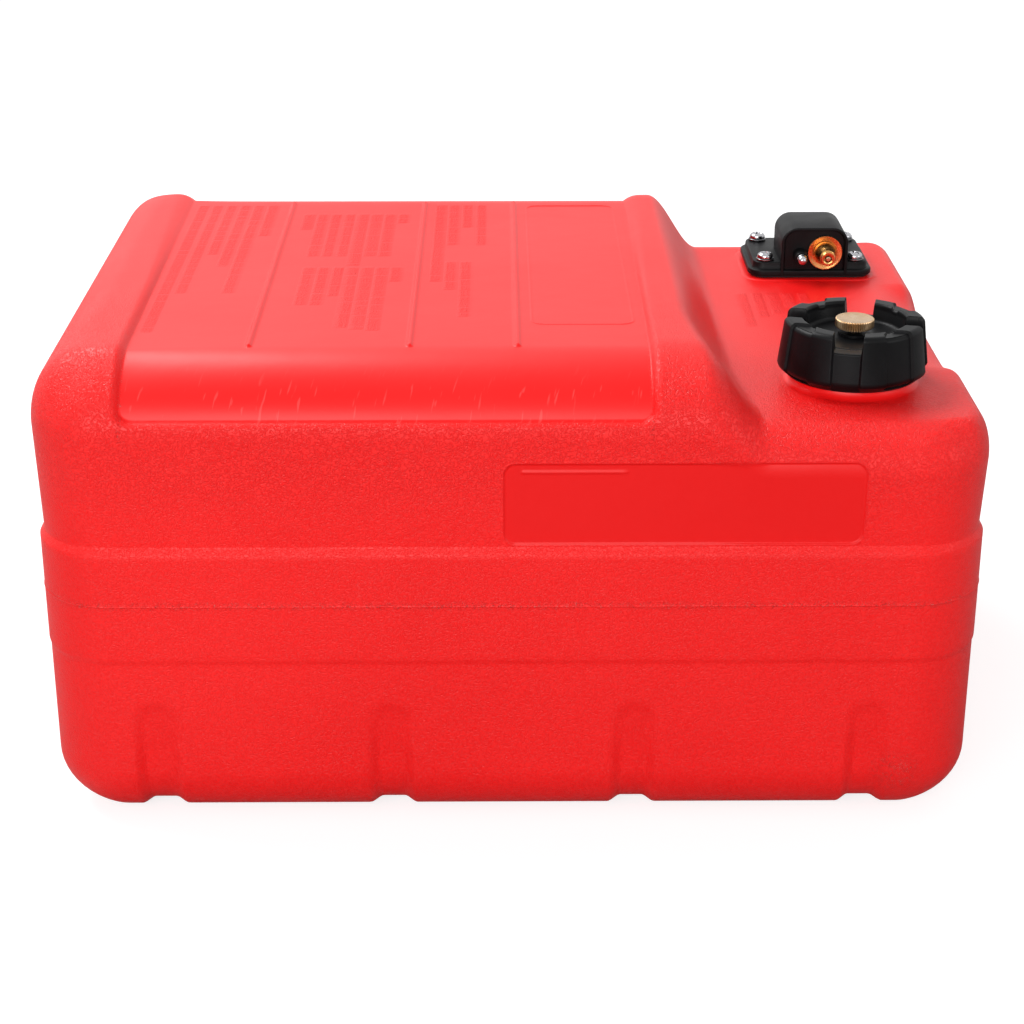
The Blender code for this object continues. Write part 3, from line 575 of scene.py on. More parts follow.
def metal(name, colour, tarnish, rough_low, rough_high, centre=None, along="Z", marks=0.12):
    """Metal with turning marks round a centre, or fine brushing where there is none."""
    material, tree, shader, place = surface(name, metallic=1.0)
    if centre:
        moved = add(tree, "VectorMath", {0: place, 1: centre}, operation="SUBTRACT").outputs[0]
        inputs = {"Vector": moved, "Scale": 900.0, "Distortion": 0.6, "Detail": 2.0}
        wave = add(tree, "TexWave", inputs, wave_type="RINGS", rings_direction=along).outputs["Fac"]
    else:
        wave = noise(tree, stretched(tree, place, (1.0, 1.0, 0.05)), 2500, 2.0)
    patch = noise(tree, place, 260, 4.0)
    tint = mixed(tree, ranged(tree, patch, 0.35, 0.8), colour, tarnish)
    rough = ranged(tree, patch, 0.25, 0.75, rough_low, rough_high)
    set_up(tree, shader, tint, rough, bumped(tree, wave, marks, 0.0001))
    return material


def strainer_steel():
    material, tree, shader, place = surface("woven stainless steel", metallic=1.0)
    weave = noise(tree, place, 1500, 1.0)
    tint = mixed(tree, weave, (0.42, 0.42, 0.42), (0.66, 0.66, 0.65))
    set_up(tree, shader, tint, ranged(tree, weave, 0, 1, 0.3, 0.5), bumped(tree, weave, 0.4, 0.0003))
    return material


# Tank surface


def bend(x, y, inset):
    """Bend a grid's square corners round, and say which way the nearest wall faces."""
    radius = corner_radius - inset
    across = half_length - corner_radius
    along = half_depth - corner_radius
    p = np.clip((np.abs(x) - across) / radius, 0, 1)
    q = np.clip((np.abs(y) - along) / radius, 0, 1)
    out_x = p * np.sqrt(1 - q * q / 2)
    out_y = q * np.sqrt(1 - p * p / 2)
    bent_x = np.sign(x) * (np.minimum(np.abs(x), across) + radius * out_x)
    bent_y = np.sign(y) * (np.minimum(np.abs(y), along) + radius * out_y)
    to_end = half_length - inset - np.abs(bent_x)
    to_side = half_depth - inset - np.abs(bent_y)
    cornered = (p > 0) & (q > 0)
    reach = np.hypot(out_x, out_y)
    spare = np.where(cornered, radius * (1 - reach), np.minimum(to_end, to_side))
    least = np.where(reach > 0, reach, 1)
    facing_x = np.where(cornered, out_x / least, to_end < to_side) * np.sign(x)
    facing_y = np.where(cornered, out_y / least, to_end >= to_side) * np.sign(y)
    side_share = to_end**4 / (to_end**4 + to_side**4 + radius**4 / 10**9)
    return bent_x, bent_y, np.maximum(spare, 0), facing_x, facing_y, side_share


def ramp_share(x, y, inset):
    """0 on the crown, 1 on the deck."""
    flare = smooth((flare_reach - half_depth - y) / flare_reach)
    start = ramp_start + ramp_flare * flare - inset / 2
    return smooth((x - start) / ramp_width)


def grip_share(x, y):
    """How deep the hand grip is at a place, as a share of its depth."""
    along = (y - grip_middle) / grip_half
    return smooth(1 - np.abs(along) ** 3) * smooth((x - half_length + grip_reach) / grip_reach)


def top_skin(x, y, inset):
    """Points, outward normals and turns from the wall of the tank's top."""
    x, y, spare, facing_x, facing_y, side_share = bend(x, y, inset)
    lower = ramp_share(x, y, inset)
    crown_reach = crown_end_run + (crown_run - crown_end_run) * side_share
    toward_back = smooth(2 * y / half_depth)
    deck_side = deck_run + (deck_back_run - deck_run) * toward_back
    deck_reach = deck_end_run + (deck_side - deck_end_run) * side_share
    deck_down = deck_fall + (deck_back_fall - deck_fall) * toward_back * side_share
    run = crown_reach + (deck_reach - crown_reach) * lower - inset
    fall = crown_fall + (deck_down - crown_fall) * lower - inset
    level = crown_height - deck_drop * lower - grip_depth * grip_share(x, y) - inset
    lean = np.clip(1 - spare / run, 0, 1)
    upright = np.sqrt(1 - lean**2)
    points = np.stack([x, y, level - fall * (1 - upright)], -1)
    normals = np.stack([facing_x * lean / run, facing_y * lean / run, upright / fall], -1)
    normals /= np.linalg.norm(normals, axis=-1, keepdims=True)
    bulk = (run + fall) / 2
    arc_length = bulk * np.arccos(lean) + np.maximum(spare - run, 0)
    return points, normals, arc_length, np.stack([facing_x, facing_y], -1)


def border(grid):
    """A grid's edge points in one loop, anticlockwise from above."""
    return np.concatenate([grid[:-1, 0], grid[-1, :-1], grid[:0:-1, -1], grid[0, :0:-1]])


def panel_depth(x, y, arc_length):
    """The sunk panel: a crisp edge, then a lip that rolls up to the surface round it."""
    half = panel_half - panel_taper * (half_depth - y) / (2 * half_depth)
    front_edge = (crown_run + crown_fall) / 2 * panel_front_turn
    from_middle = half_depth - (arc_length - front_edge)
    inside = inside_round(x - panel_middle, from_middle, half, half_depth, panel_corner)
    lip = panel_lip + (panel_lip_back - panel_lip) * smooth((y + 0.05) / 0.18)
    return panel_recess * np.clip(1 + inside / lip, 0, 1) ** panel_lip_power


def bead_rise(x, y):
    rise = np.zeros_like(x)
    for place, half in bead_rows:
        inside = inside_round(x - place, y, half, bead_end + half, half)
        rise += bead_height * smooth(inside / half * 1.1)
    return rise


def line_rise(inside):
    """A thin raised line where the distance inside an outline is nil."""
    return line_height * smooth(1 - np.abs(inside) / line_half)


def inside_outline(x, y, middle, half, corner):
    return inside_round(x - middle[0], y - middle[1], half[0], half[1], corner)


def pad_inside(x, y):
    half = [size + pad_margin for size in plate_half]
    return inside_outline(x, y, plate_middle, half, pad_corner)


def groove_share(x, z):
    share = np.zeros_like(x)
    for place in groove_places:
        over = np.maximum(z - (groove_top - groove_half), 0)
        inside = groove_half - np.hypot(x - place, over)
        share = np.maximum(share, smooth(inside / groove_edge))
    return share * (groove_least + (1 - groove_least) * smooth((groove_top - z) / groove_fade))


def label_relief(x, z):
    """How far the label panel and its bar stand out, and the distance inside the panel."""
    inside = inside_outline(x, z, label_middle, label_half, label_corner)
    bar = inside_outline(x, z, level_middle, level_half, level_half[1])
    sunk = -label_recess * smooth(inside / pad_edge)
    return sunk + line_rise(inside) + level_proud * smooth(bar / level_half[1]), inside


def top_relief(points, normals, arc_length):
    """How far each point of the top stands out from the plain surface."""
    x, y, z = np.moveaxis(points, -1, 0)
    rise = -panel_depth(x, y, arc_length) + bead_rise(x, y)
    rise += line_rise(inside_outline(x, y, outline_middle, outline_half, outline_corner))
    rise += pad_rise * smooth(pad_inside(x, y) / pad_edge)
    label, _ = label_relief(x, z)
    return rise + label * (normals[..., 1] < -0.5)


def wall_relief(points, normals):
    """How far each point of the walls stands out from the plain surface."""
    x, _, z = np.moveaxis(points, -1, 0)
    facing = np.abs(normals[..., 1]) + np.abs(normals[..., 2])
    rise = -groove_depth * groove_share(x, z) * (facing > 0.9)
    label, _ = label_relief(x, z)
    rise += label * (normals[..., 1] < -0.5)
    rise += seam_proud * smooth(1 - np.abs(z - seam_height) / seam_half)
    return rise


def turns(run, steps_length, marks=()):
    """Distances from a wall that divide its rounded edge evenly."""
    quarter = math.pi / 2
    step = steps_length / run
    angles = spread(0, quarter, step, marks, fine=step / 3, reach=3 * step)
    return [run * (1 - math.cos(angle)) for angle in angles]


def with_edges(half, low, inner, high):
    """Grid lines from the rounded edge at one wall to the one at the other."""
    return np.array([place - half for place in low[:-1]] + inner + [half - place for place in high[-2::-1]])


def sides(middle, half):
    return [middle - half, middle + half]


def fine_lines():
    """Grid lines of the outer skin, close together beside every small feature."""
    step = 0.0016
    left = turns(crown_end_run, step)
    right = turns(deck_run, step)
    marks = sides(panel_middle, panel_half - panel_taper / 2)
    marks += sides(plate_middle[0], plate_half[0] + pad_margin)
    marks += [place for place, _ in bead_rows]
    marks += sides(outline_middle[0], outline_half[0])
    marks += sides(label_middle[0], label_half[0])
    inner = spread(crown_end_run - half_length, half_length - deck_run, step, marks)
    xs = with_edges(half_length, left, inner, right)
    front = turns(crown_run, step, (panel_front_turn, math.acos(1 - (half_depth - bead_end) / crown_run)))
    marks = sides(outline_middle[1], outline_half[1])
    marks += [plate_middle[1] - plate_half[1] - pad_margin]
    inner = spread(crown_run - half_depth, half_depth - crown_run, step, marks)
    return xs, with_edges(half_depth, front, inner, front)


def coarse_lines(half, run):
    """Grid lines of the inner skin."""
    edge = turns(run, 0.008)
    inner = spread(run - half, half - run, 0.012)
    return with_edges(half, edge, inner, edge)


def wall_rows(inset, fine):
    """(height share above the belt or height, offset outwards) of the rows below the rounded edge."""
    steps = 90 if fine else 4
    rows = [(1 - step / steps, None) for step in range(1, steps + 1)]
    belt_steps = 6 if fine else 2
    for step in range(1, belt_steps + 1):
        offset = -waist_depth + (waist_depth + belt_proud) * step / belt_steps
        rows.append((band_high + band_bevel * (1 - step / belt_steps), offset))
    marks = (seam_height,) if fine else ()
    spacing = 0.0026 if fine else 0.015
    belt = spread(0, band_high - band_low, spacing, [band_high - mark for mark in marks], 0.00022, 0.0008)
    rows += [(band_high - fall, belt_proud) for fall in belt[1:]]
    for step in range(1, belt_steps + 1):
        ease = float(smooth(step / belt_steps))
        offset = belt_proud - (belt_proud + lower_inset) * ease
        rows.append((band_low - band_bevel * step / belt_steps, offset))
    lower = spread(0, band_low - band_bevel - foot_rise, spacing)
    rows += [(band_low - band_bevel - fall, -lower_inset) for fall in lower[1:]]
    foot_steps = 16 if fine else 5
    run = np.array([foot_end_run - inset, foot_run - inset])
    for step in range(1, foot_steps + 1):
        angle = math.pi / 2 * step / foot_steps
        offset = run * (math.cos(angle) - 1) - lower_inset
        rows.append((foot_rise - (foot_rise - inset) * math.sin(angle), offset))
    return rows


def square_loop(index, xs, ys):
    """Grid positions of the square patch round the filler neck."""
    i0, i1 = np.searchsorted(xs, (filler.x - neck_patch, filler.x + neck_patch))
    j0, j1 = np.searchsorted(ys, (filler.y - neck_patch, filler.y + neck_patch))
    loop = border(index[i0 : i1 + 1, j0 : j1 + 1])
    return (i0, i1, j0, j1), loop


def skin(xs, ys, inset, fine):
    """Points, faces and masks of one skin of the tank, with a square left open for the neck."""
    grid_x, grid_y = np.meshgrid(xs, ys, indexing="ij")
    top, normals, arc_length, facing = top_skin(grid_x, grid_y, inset)
    base = top.copy()
    if fine:
        top = top + normals * top_relief(base, normals, arc_length)[..., None]
    wide, deep = grid_x.shape
    index = np.arange(wide * deep).reshape(wide, deep)
    (i0, i1, j0, j1), patch = square_loop(index, xs, ys)
    faces = []
    for i in range(wide - 1):
        for j in range(deep - 1):
            if i0 <= i < i1 and j0 <= j < j1:
                continue
            faces.append((index[i, j], index[i + 1, j], index[i + 1, j + 1], index[i, j + 1]))
    points = [top.reshape(-1, 3)]
    masks = [top_masks(base, normals, arc_length).reshape(-1, len(mask_names))]
    edge, outward, above = border(base), border(facing), border(index)
    shoulder = band_high + band_bevel
    count, total = len(above), wide * deep
    for height, proud in wall_rows(inset, fine):
        row = edge.copy()
        if proud is None:
            row[:, 2] = shoulder + (edge[:, 2] - shoulder) * height
            proud = -waist_depth * (1 - height)
        else:
            row[:, 2] = height
        row[:, :2] += outward * proud
        lean = np.clip((foot_rise - row[:, 2]) / foot_rise, 0, 1)
        normal = np.stack([outward[:, 0], outward[:, 1], -lean], -1)
        normal /= np.linalg.norm(normal, axis=-1, keepdims=True)
        masks.append(wall_masks(row, normal))
        if fine:
            normal = np.where(lean[:, None] > 0.999, np.array([0, 0, -1.0]), normal)
            row = row + normal * wall_relief(row, normal)[:, None]
        points.append(row)
        below = np.arange(total, total + count)
        faces += strip(above, below)
        above, total = below, total + count
    faces += bottom_faces(above, wide, deep)
    return np.concatenate(points), faces, np.concatenate(masks), patch


def bottom_faces(loop, wide, deep):
    """Strips from the front to the back under the tank, and one face at each end."""
    front = loop[:wide]
    back = loop[wide + deep - 2 : 2 * wide + deep - 2][::-1]
    faces = [(front[i], back[i], back[i + 1], front[i + 1]) for i in range(wide - 1)]
    right = loop[wide - 1 : wide + deep - 1]
    left = np.concatenate([loop[2 * wide + deep - 3 :], loop[:1]])
    return faces + [tuple(reversed(right.tolist())), tuple(reversed(left.tolist()))]


# Rows of small plain marks on the top: (middle across, front end, back end) in plan
mark_rows = (
    ((-0.1775, -0.0081), 0.127, (-0.109, -0.045, 0.026, 0.004, -0.045, 0.063)),
    ((-0.1144, -0.0077), 0.107, (0.075, 0.022, 0.022, 0.022, 0.004, 0.022, 0.022, 0.089)),
    ((-0.1066, -0.0077), 0.000, (-0.065, -0.065, -0.050, -0.102, -0.105, -0.107, -0.025)),
    ((-0.0395, -0.0078), 0.127, (-0.025, 0.044, 0.080, 0.044)),
    ((-0.0317, -0.0078), 0.010, (-0.040, -0.085)),
    ((0.1280, -0.0085), 0.046, (-0.012, 0.004, 0.010, 0.020, 0.026)),
)
mark_half = 0.0027
mark_gap = 0.0012
mark_edge = 0.0016


def mark_share(x, y):
    """1 on the short marks, whose rows are cut into pieces of random length."""
    chance = np.random.default_rng(7)
    share = np.zeros_like(x)
    for (first, pitch), back, fronts in mark_rows:
        for number, low in enumerate(fronts):
            across = smooth((mark_half - np.abs(x - first + pitch * number)) / mark_edge + 0.5)
            high = back
            while high > low:
                piece = low if high - low < 0.012 else high - 0.007 - 0.012 * chance.random()
                piece = max(piece, low)
                along = smooth(np.minimum(y - piece, high - y) / mark_edge + 0.7)
                share = np.maximum(share, across * along)
                high = piece - mark_gap
    return share


def top_masks(points, normals, arc_length):
    """Grain with its painted shade and highlight, marks, scratches, deeper red and scuffs over the top."""
    x, y, z = np.moveaxis(points, -1, 0)
    plain = 1 - np.clip(panel_depth(x, y, arc_length) / panel_recess * 1.5, 0, 1)
    plain *= 1 - smooth(pad_inside(x, y) / 0.001 + 0.5)
    in_front = normals[..., 1] < -0.5
    _, label = label_relief(x, z)
    deep = smooth(label / 0.001 + 0.5) * in_front
    forward = smooth((-0.035 - y) / 0.075)
    steep = smooth(1 - 1.15 * normals[..., 2])
    # Grain and its painted shade and highlight, strongest at the front and on steep parts
    grain_and_painted_light = plain * (1 - deep) * (0.16 + 0.84 * np.maximum(forward, steep))
    marks = mark_share(x, y) * (normals[..., 2] > 0.98) * np.where(x < panel_middle + panel_half, 1.0, 0.7)
    half = panel_half - panel_taper * (half_depth - y) / (2 * half_depth)
    on_panel = smooth((half - np.abs(x - panel_middle)) / 0.004)
    scratch = smooth((0.97 - normals[..., 2]) / 0.3) * (y < 0) * (1 - plain) * on_panel * (1 - deep)
    edge = smooth(1 - np.abs(np.abs(x - panel_middle) - half) / 0.0016) * (y < 0.02)
    return np.stack([grain_and_painted_light, marks, scratch, deep, edge * 0.7], -1)


def wall_masks(points, normals):
    x, _, z = np.moveaxis(points, -1, 0)
    in_front = normals[:, 1] < -0.5
    _, label = label_relief(x, z)
    deep = smooth(label / 0.001 + 0.5) * in_front
    # Grain and its painted shade and highlight on the walls, stronger higher up
    grain_and_painted_light = (0.55 + 0.45 * smooth((z - 0.160) / 0.03)) * (1 - deep)
    seam = smooth(1 - np.abs(z - seam_height) / 0.0022) * 0.8
    rubbed = smooth(1.4 - np.hypot(x - rubbed_place[0], z - rubbed_place[1]) / rubbed_reach) * in_front
    return np.stack([grain_and_painted_light, np.zeros_like(x), np.zeros_like(x), deep, np.maximum(seam, rubbed)], -1)


def neck_profile():
    """(radius, height) from the flare's foot up the outside, over the rim and down the bore."""
    top = deck_height + neck_height
    foot = neck_radius + neck_flare
    flare = [
        (foot - neck_flare * math.sin(angle), deck_height + neck_flare * (1 - math.cos(angle)))
        for angle in (math.pi / 2 * step / 6 for step in range(1, 7))
    ]
    rim = neck_rim
    outside = run_points((neck_radius, deck_height + 2 * neck_flare), (neck_radius, top - rim), 4)
    over = arc((neck_radius - rim, top - rim), rim, 0, 90, 3)[1:]
    inner = arc((neck_bore + rim, top - rim), rim, 90, 180, 3)
    down = run_points((neck_bore, top - 4 * rim), (neck_bore, deck_height), 3)
    return flare + outside + over + inner + down


def tank(material):
    """The tank: a fine outer skin, a plain inner one, and the neck that joins them."""
    xs, ys = fine_lines()
    outer, faces, masks, patch = skin(xs, ys, 0, True)
    inner_xs = coarse_lines(half_length - wall, crown_end_run - wall)
    inner_ys = coarse_lines(half_depth - wall, crown_run - wall)
    inner, inner_faces, inner_masks, inner_patch = skin(inner_xs, inner_ys, wall, False)
    points, masks = [outer], [masks]
    total = len(outer)
    centre = np.array([filler.x, filler.y])
    away = outer[patch][:, :2] - centre
    away /= np.linalg.norm(away, axis=-1, keepdims=True)
    count = len(patch)
    foot = neck_radius + neck_flare
    loops = []
    for share in (0.4, 0.75, 1.0):
        plan = outer[patch][:, :2] * (1 - share) + (centre + away * foot) * share
        level, _, _, _ = top_skin(plan[:, 0], plan[:, 1], 0)
        loops.append(level)
    for radius, height in neck_profile():
        plan = centre + away * radius
        loops.append(np.column_stack([plan, np.full(count, height)]))
    above = patch
    for number, loop in enumerate(loops):
        below = np.arange(total, total + count)
        faces += [(a, d, c, b) for a, b, c, d in strip(above, below)]
        points.append(loop)
        rough = 0.5 if number < 3 else 0.05
        masks.append(np.tile((rough, 0, 0, 0, 0), (count, 1)))
        above, total = below, total + count
    faces += flipped([k + total for k in face] for face in inner_faces)
    points.append(inner)
    masks.append(inner_masks * 0.3)
    points = np.concatenate(points)
    faces += bridge(above, (inner_patch + total).tolist(), points, centre)
    faces = [tuple(map(int, face)) for face in faces]
    piece = place_mesh("tank_body", points, faces, material, "tank", "tank_plastic", ("tank_shell",))
    masks = np.concatenate(masks)
    for column, name in enumerate(mask_names):
        attribute = piece.data.attributes.new(name, "FLOAT", "POINT")
        attribute.data.foreach_set("value", masks[:, column].astype(np.float32))


def bridge(many, few, points, centre):
    """Faces between a loop of many points and one of few round the same centre."""

    def turn_of(k):
        return math.atan2(points[k][1] - centre[1], points[k][0] - centre[0])

    few_turns = [turn_of(k) for k in few]
    nearest = []
    for k in many:
        gaps = [abs(math.remainder(turn_of(k) - other, 2 * math.pi)) for other in few_turns]
        nearest.append(gaps.index(min(gaps)))
    faces = []
    for k, a in enumerate(nearest):
        after = (k + 1) % len(many)
        b = nearest[after]
        faces.append((many[k], many[after], few[a]) if a == b else (many[k], many[after], few[b], few[a]))
    return faces


def thread(material, name, body, slot, radius, outward, half, first, turns_made, start, steps, section):
    """A rounded thread that stands out of a wall (outward 1) or into the bore (outward -1)."""
    points, faces = [], []
    for step in range(steps + 1):
        turn = 2 * math.pi * (turns_made * step / steps + first)
        ease = min(1, step / thread_ease, (steps - step) / thread_ease)
        for side in range(section):
            across = 2 * side / (section - 1) - 1
            proud = (thread_proud + thread_sunk) * math.sqrt(1 - across * across) * ease - thread_sunk
            out = radius + outward * proud
            rise = start + thread_lead * turns_made * step / steps + across * half
            points.append((filler.x + out * math.cos(turn), filler.y + out * math.sin(turn), rise))
    for step in range(steps):
        here = range(step * section, (step + 1) * section)
        faces += strip(here, [k + section for k in here])
    last = steps * section
    faces += [tuple(range(section)), tuple(reversed(range(last, last + section)))]
    place_mesh(name, points, faces if outward > 0 else flipped(faces), material, body, slot)


def neck_thread(material):
    """One turn of thread on the neck."""
    start = deck_height + thread_start
    thread(material, "neck_thread", "tank", "tank_plastic", neck_radius, 1, 0.0014, 0, 1, start, 120, 9)


# Filler cap


def cap_profiles():
    """Matching points of the cap's section through a lug and through a gap between lugs."""
    low, top = cap_low, cap_top
    gap_floor = top - lug_gap_depth
    well_floor = top - cap_well_depth
    roof = top - cap_roof_drop
    inner = cap_radius - cap_chamfer
    well = cap_well_radius
    well_edge = well + cap_round
    edge = cap_round / 3
    chamfer = run_points((inner, low + edge / 2), (cap_radius - edge / 2, low + cap_chamfer - edge / 2), 6)
    gap_chamfer = [(r - lug_relief * (r - inner) / cap_chamfer, z) for r, z in chamfer]
    lug_skirt = run_points((cap_radius, low + cap_chamfer + edge), (cap_top_radius, top - cap_round), 24)
    relief = cap_radius - lug_relief
    relief_top = cap_top_radius - lug_relief / 2
    gap_skirt = run_points((relief, low + cap_chamfer + edge), (relief_top, gap_floor - edge), 24)
    lug_over = arc((cap_top_radius - cap_round, top - cap_round), cap_round, 8, 90, 6)
    gap_over = arc((relief_top - edge, gap_floor - edge), edge, 8, 90, 6)
    lug_top = run_points((cap_top_radius - cap_round - edge, top), (well_edge, top), 12)
    gap_top = run_points((relief_top - 2 * edge, gap_floor), (well_edge, gap_floor), 12)
    lug_in = arc((well_edge, top - cap_round / 2), cap_round / 2, 90, 180, 4)
    gap_in = run_points((well_edge, gap_floor), (well + cap_round / 2, gap_floor - edge / 3), 4)
    lug_down = run_points((well + cap_round / 2, top - cap_round), (well, well_floor + edge), 8)
    gap_down = run_points((well + cap_round / 3, gap_floor - edge / 2), (well, well_floor + edge / 3), 8)
    floor = run_points((well - edge, well_floor), (cap_hole, well_floor), 10)
    under = [(cap_hole, roof), (cap_bore - edge, roof), (cap_bore, roof - edge)]
    under += [(cap_bore, low + edge), (cap_bore + edge, low)]
    start = [(inner - edge, low)]
    lug = start + chamfer + lug_skirt + lug_over + lug_top + lug_in + lug_down + floor + under
    gap = start + gap_chamfer + gap_skirt + gap_over + gap_top + gap_in + gap_down + floor + under
    return np.array(lug), np.array(gap)


def cap(material):
    """The cap, its section blended between lugs and gaps round the axis."""
    segments = 720
    turn = np.linspace(0, 2 * math.pi, segments, endpoint=False)[None, :]
    lug, gap = cap_profiles()
    lug_r, lug_z = lug[:, 0][:, None], lug[:, 1][:, None]
    gap_r, gap_z = gap[:, 0][:, None], gap[:, 1][:, None]
    pitch = 2 * math.pi / lug_count
    from_gap = (turn - cap_turned + pitch / 2) % pitch - pitch / 2
    lateral = lug_r * np.abs(np.sin(from_gap))
    share = smooth((lug_gap_half + lug_side / 2 - lateral) / lug_side)
    share = np.where(lug_r < cap_hole * 2, 0, share)
    from_lug = np.abs((turn - cap_turned) % pitch - pitch / 2)
    narrowing = np.clip((cap_top_radius - cap_round - lug_r) / (cap_top_radius - cap_well_radius), 0, 1)
    width = channel_half * (1 - 0.72 * smooth(narrowing * 1.4))
    channel = smooth((width - from_lug) / math.radians(1.1) + 0.5)
    outside = (lug_z < cap_top) & (lug_r > cap_top_radius - cap_round) & (lug_z > cap_low + cap_chamfer / 3)
    over = (lug_z >= cap_top - cap_round) & (lug_r > cap_well_radius)
    radius = lug_r - channel_depth * channel * outside
    height = lug_z - channel_depth * channel * over
    r = radius + (gap_r - radius) * share
    z = height + (gap_z - height) * share
    r = np.broadcast_to(r, (len(lug), segments))
    z = np.broadcast_to(z, (len(lug), segments))
    points = np.stack([filler.x + r * np.cos(turn), filler.y + r * np.sin(turn), z], -1).reshape(-1, 3)
    faces = ring_faces(len(lug), segments, closed=True)
    place_mesh("cap_body", points, faces, material, "cap", "black_plastic", ("cap_shell",), sharp=60)


def cap_thread(material):
    """Less than one turn of thread inside the cap."""
    first = 0.3
    start = deck_height + thread_start + thread_lead * (first - 0.5)
    thread(material, "cap_thread", "cap", "black_plastic", cap_bore, -1, 0.0013, first, 0.85, start, 110, 7)


def knob(material):
    """Knurled knob with a bevelled rim, and its stem."""
    bottom, top = knob_box_low.z, knob_box_high.z
    low = top - knob_thick
    radius = knob_radius

    def knurl(angles, r):
        depth = knob_tooth * (0.5 - 0.5 * np.cos(knob_teeth * angles))
        edge = max(0.0, 1 - abs(r - radius) / knob_bevel)
        return r - depth * min(1.0, edge * 1.5)

    groove = cap_top - stem_groove_drop
    stem = [
        (stem_radius - 0.0004, bottom),
        (stem_radius, bottom + 0.0004),
        (stem_radius, groove),
        (stem_waist, groove),
        (stem_waist, groove + stem_groove),
        (stem_radius, groove + stem_groove),
        (stem_radius, low - 0.0002),
        (stem_radius + 0.0006, low),
    ]
    under = run_points((radius - 0.0012, low), (radius - knob_bevel, low), 2)
    side = [(radius, low + knob_bevel)] + run_points((radius, low + 0.0010), (radius, top - 0.0010), 5)
    side += [(radius, top - knob_bevel)]
    rim = arc((radius - knob_bevel, top - knob_bevel), knob_bevel, 20, 90, 3)
    dish = top - knob_dish
    face = [(radius - 0.0010, top), (radius - 0.0013, dish), (0.0035, dish), (0.0006, dish)]
    segments = knob_teeth * 8
    centre = (filler.x, filler.y, 0)
    points, faces = turned(stem + under + side + rim + face, segments, centre, radius_change=knurl)
    points, faces = cap_ends(points, faces, segments)
    place_mesh("vent_screw", points, faces, material, "vent_screw", "brass", ("vent_knob",), sharp=50)


# Fuel joint


def rounded_loop(middle, half, corner, z, steps=10):
    """Points of a rectangle with round corners at one height, anticlockwise."""
    points = []
    for number, (side, end) in enumerate(((1, 1), (-1, 1), (-1, -1), (1, -1))):
        for step in range(steps + 1):
            angle = math.pi / 2 * (number + step / steps)
            x = middle[0] + side * (half[0] - corner) + corner * math.cos(angle)
            y = middle[1] + end * (half[1] - corner) + corner * math.sin(angle)
            points.append((x, y, z))
    return points


def rounded_rows(inset, level, radius, steps=4):
    """(inset, height) over a rounded edge that ends at a level."""
    return [
        (inset + radius * (1 - math.cos(angle)), level - radius + radius * math.sin(angle))
        for angle in (math.pi / 2 * step / steps for step in range(1, steps + 1))
    ]


def base_plate(material):
    """Base plate with its stepped, rounded edge."""
    top = plate_low + plate_height
    mid = plate_low + plate_height * plate_step_share
    step_in = plate_step + plate_round
    rows = [(0.0004, plate_low), (0, plate_low + 0.0004), (0, mid - plate_round)]
    rows += rounded_rows(0, mid, plate_round)
    rows += [(step_in - 0.0005, mid + 0.0001), (step_in, mid + 0.0007)]
    rows += [(step_in + 0.0003, top - plate_round)]
    rows += rounded_rows(step_in + 0.0003, top, plate_round)
    rows += [(step_in + 0.0022, top)]
    loops = [
        rounded_loop(plate_middle, [size - inset for size in plate_half], plate_corner - inset, z)
        for inset, z in rows
    ]
    place_mesh("joint_base", *loft(loops), material, "tank", "black_plastic", sharp=40)


def hood_loop(inset_side, inset_top, low, corner, y):
    """The hood's outline at one depth, in from its sides and top."""
    left, right = hood_left + inset_side, hood_right - inset_side
    top = housing_box_high.z - inset_top
    points = [(left, y, low), (right, y, low)]
    for step in range(1, 4):
        points.append((right, y, low + (top - corner - low) * step / 4))
    for centre, start in ((right - corner, 0), (left + corner, 90)):
        for step in range(13):
            angle = math.radians(start + 90 * step / 12)
            points.append((centre + corner * math.cos(angle), y, top - corner + corner * math.sin(angle)))
    for step in range(3, 0, -1):
        points.append((left, y, low + (top - corner - low) * step / 4))
    return points


def hood(material):
    """Hood with a rounded back edge, a thin rim and a shallow recess."""
    front = plate_front - hood_over_plate
    back = plate_front + hood_depth
    low = plate_low + 0.0004
    floor = plate_low + hood_floor
    inner = hood_corner - hood_side
    lip = hood_lip
    rows = []
    for angle in (math.pi / 2 * step / 3 for step in range(4)):
        inset = hood_round * (1 - math.sin(angle))
        y = back - hood_round * (1 - math.cos(angle))
        rows.append((inset, inset, low, hood_corner - inset, y))
    rows.append((0, 0, low, hood_corner, (front + back) / 2))
    for angle in (math.pi / 2 * step / 3 for step in range(4)):
        inset = lip * (1 - math.cos(angle))
        rows.append((inset, inset, low, hood_corner - inset, front + lip * (1 - math.sin(angle))))
    rows += [
        (hood_side - lip / 2, hood_wall - lip / 2, floor, inner, front),
        (hood_side, hood_wall, floor, inner, front + lip),
        (hood_side, hood_wall, floor, inner, recess_wall - lip),
        (hood_side + lip, hood_wall + lip, floor + lip, inner - lip, recess_wall),
    ]
    points, faces = loft([hood_loop(*row) for row in rows])
    nodes = ("joint_housing",)
    place_mesh("joint_hood", points, faces, material, "tank", "black_plastic", nodes, sharp=40)


def spigot(material):
    """The joint's round spigot in the tank's opening, and the boss round the pin."""
    centre = (centre_of(nipple_box_low, nipple_box_high)[0], recess_wall + channel_from_wall, 0)
    foot = plate_low - spigot_drop
    profile = [(spigot_radius - spigot_edge, foot), (spigot_radius, foot + spigot_edge)]
    profile += [(spigot_radius, plate_low + 0.001)]
    turned_piece("joint_spigot", profile, 48, centre, material, "black_plastic")
    profile = [
        (pin_boss_radius + 0.0005, -0.0006),
        (pin_boss_radius, 0.0006),
        (pin_boss_radius, pin_boss_length - 0.0005),
        (pin_boss_radius - 0.0004, pin_boss_length),
        (0.0024, pin_boss_length),
    ]
    turned_piece("pin_boss", profile, 40, pin_centre, material, "black_plastic", axis="Y")


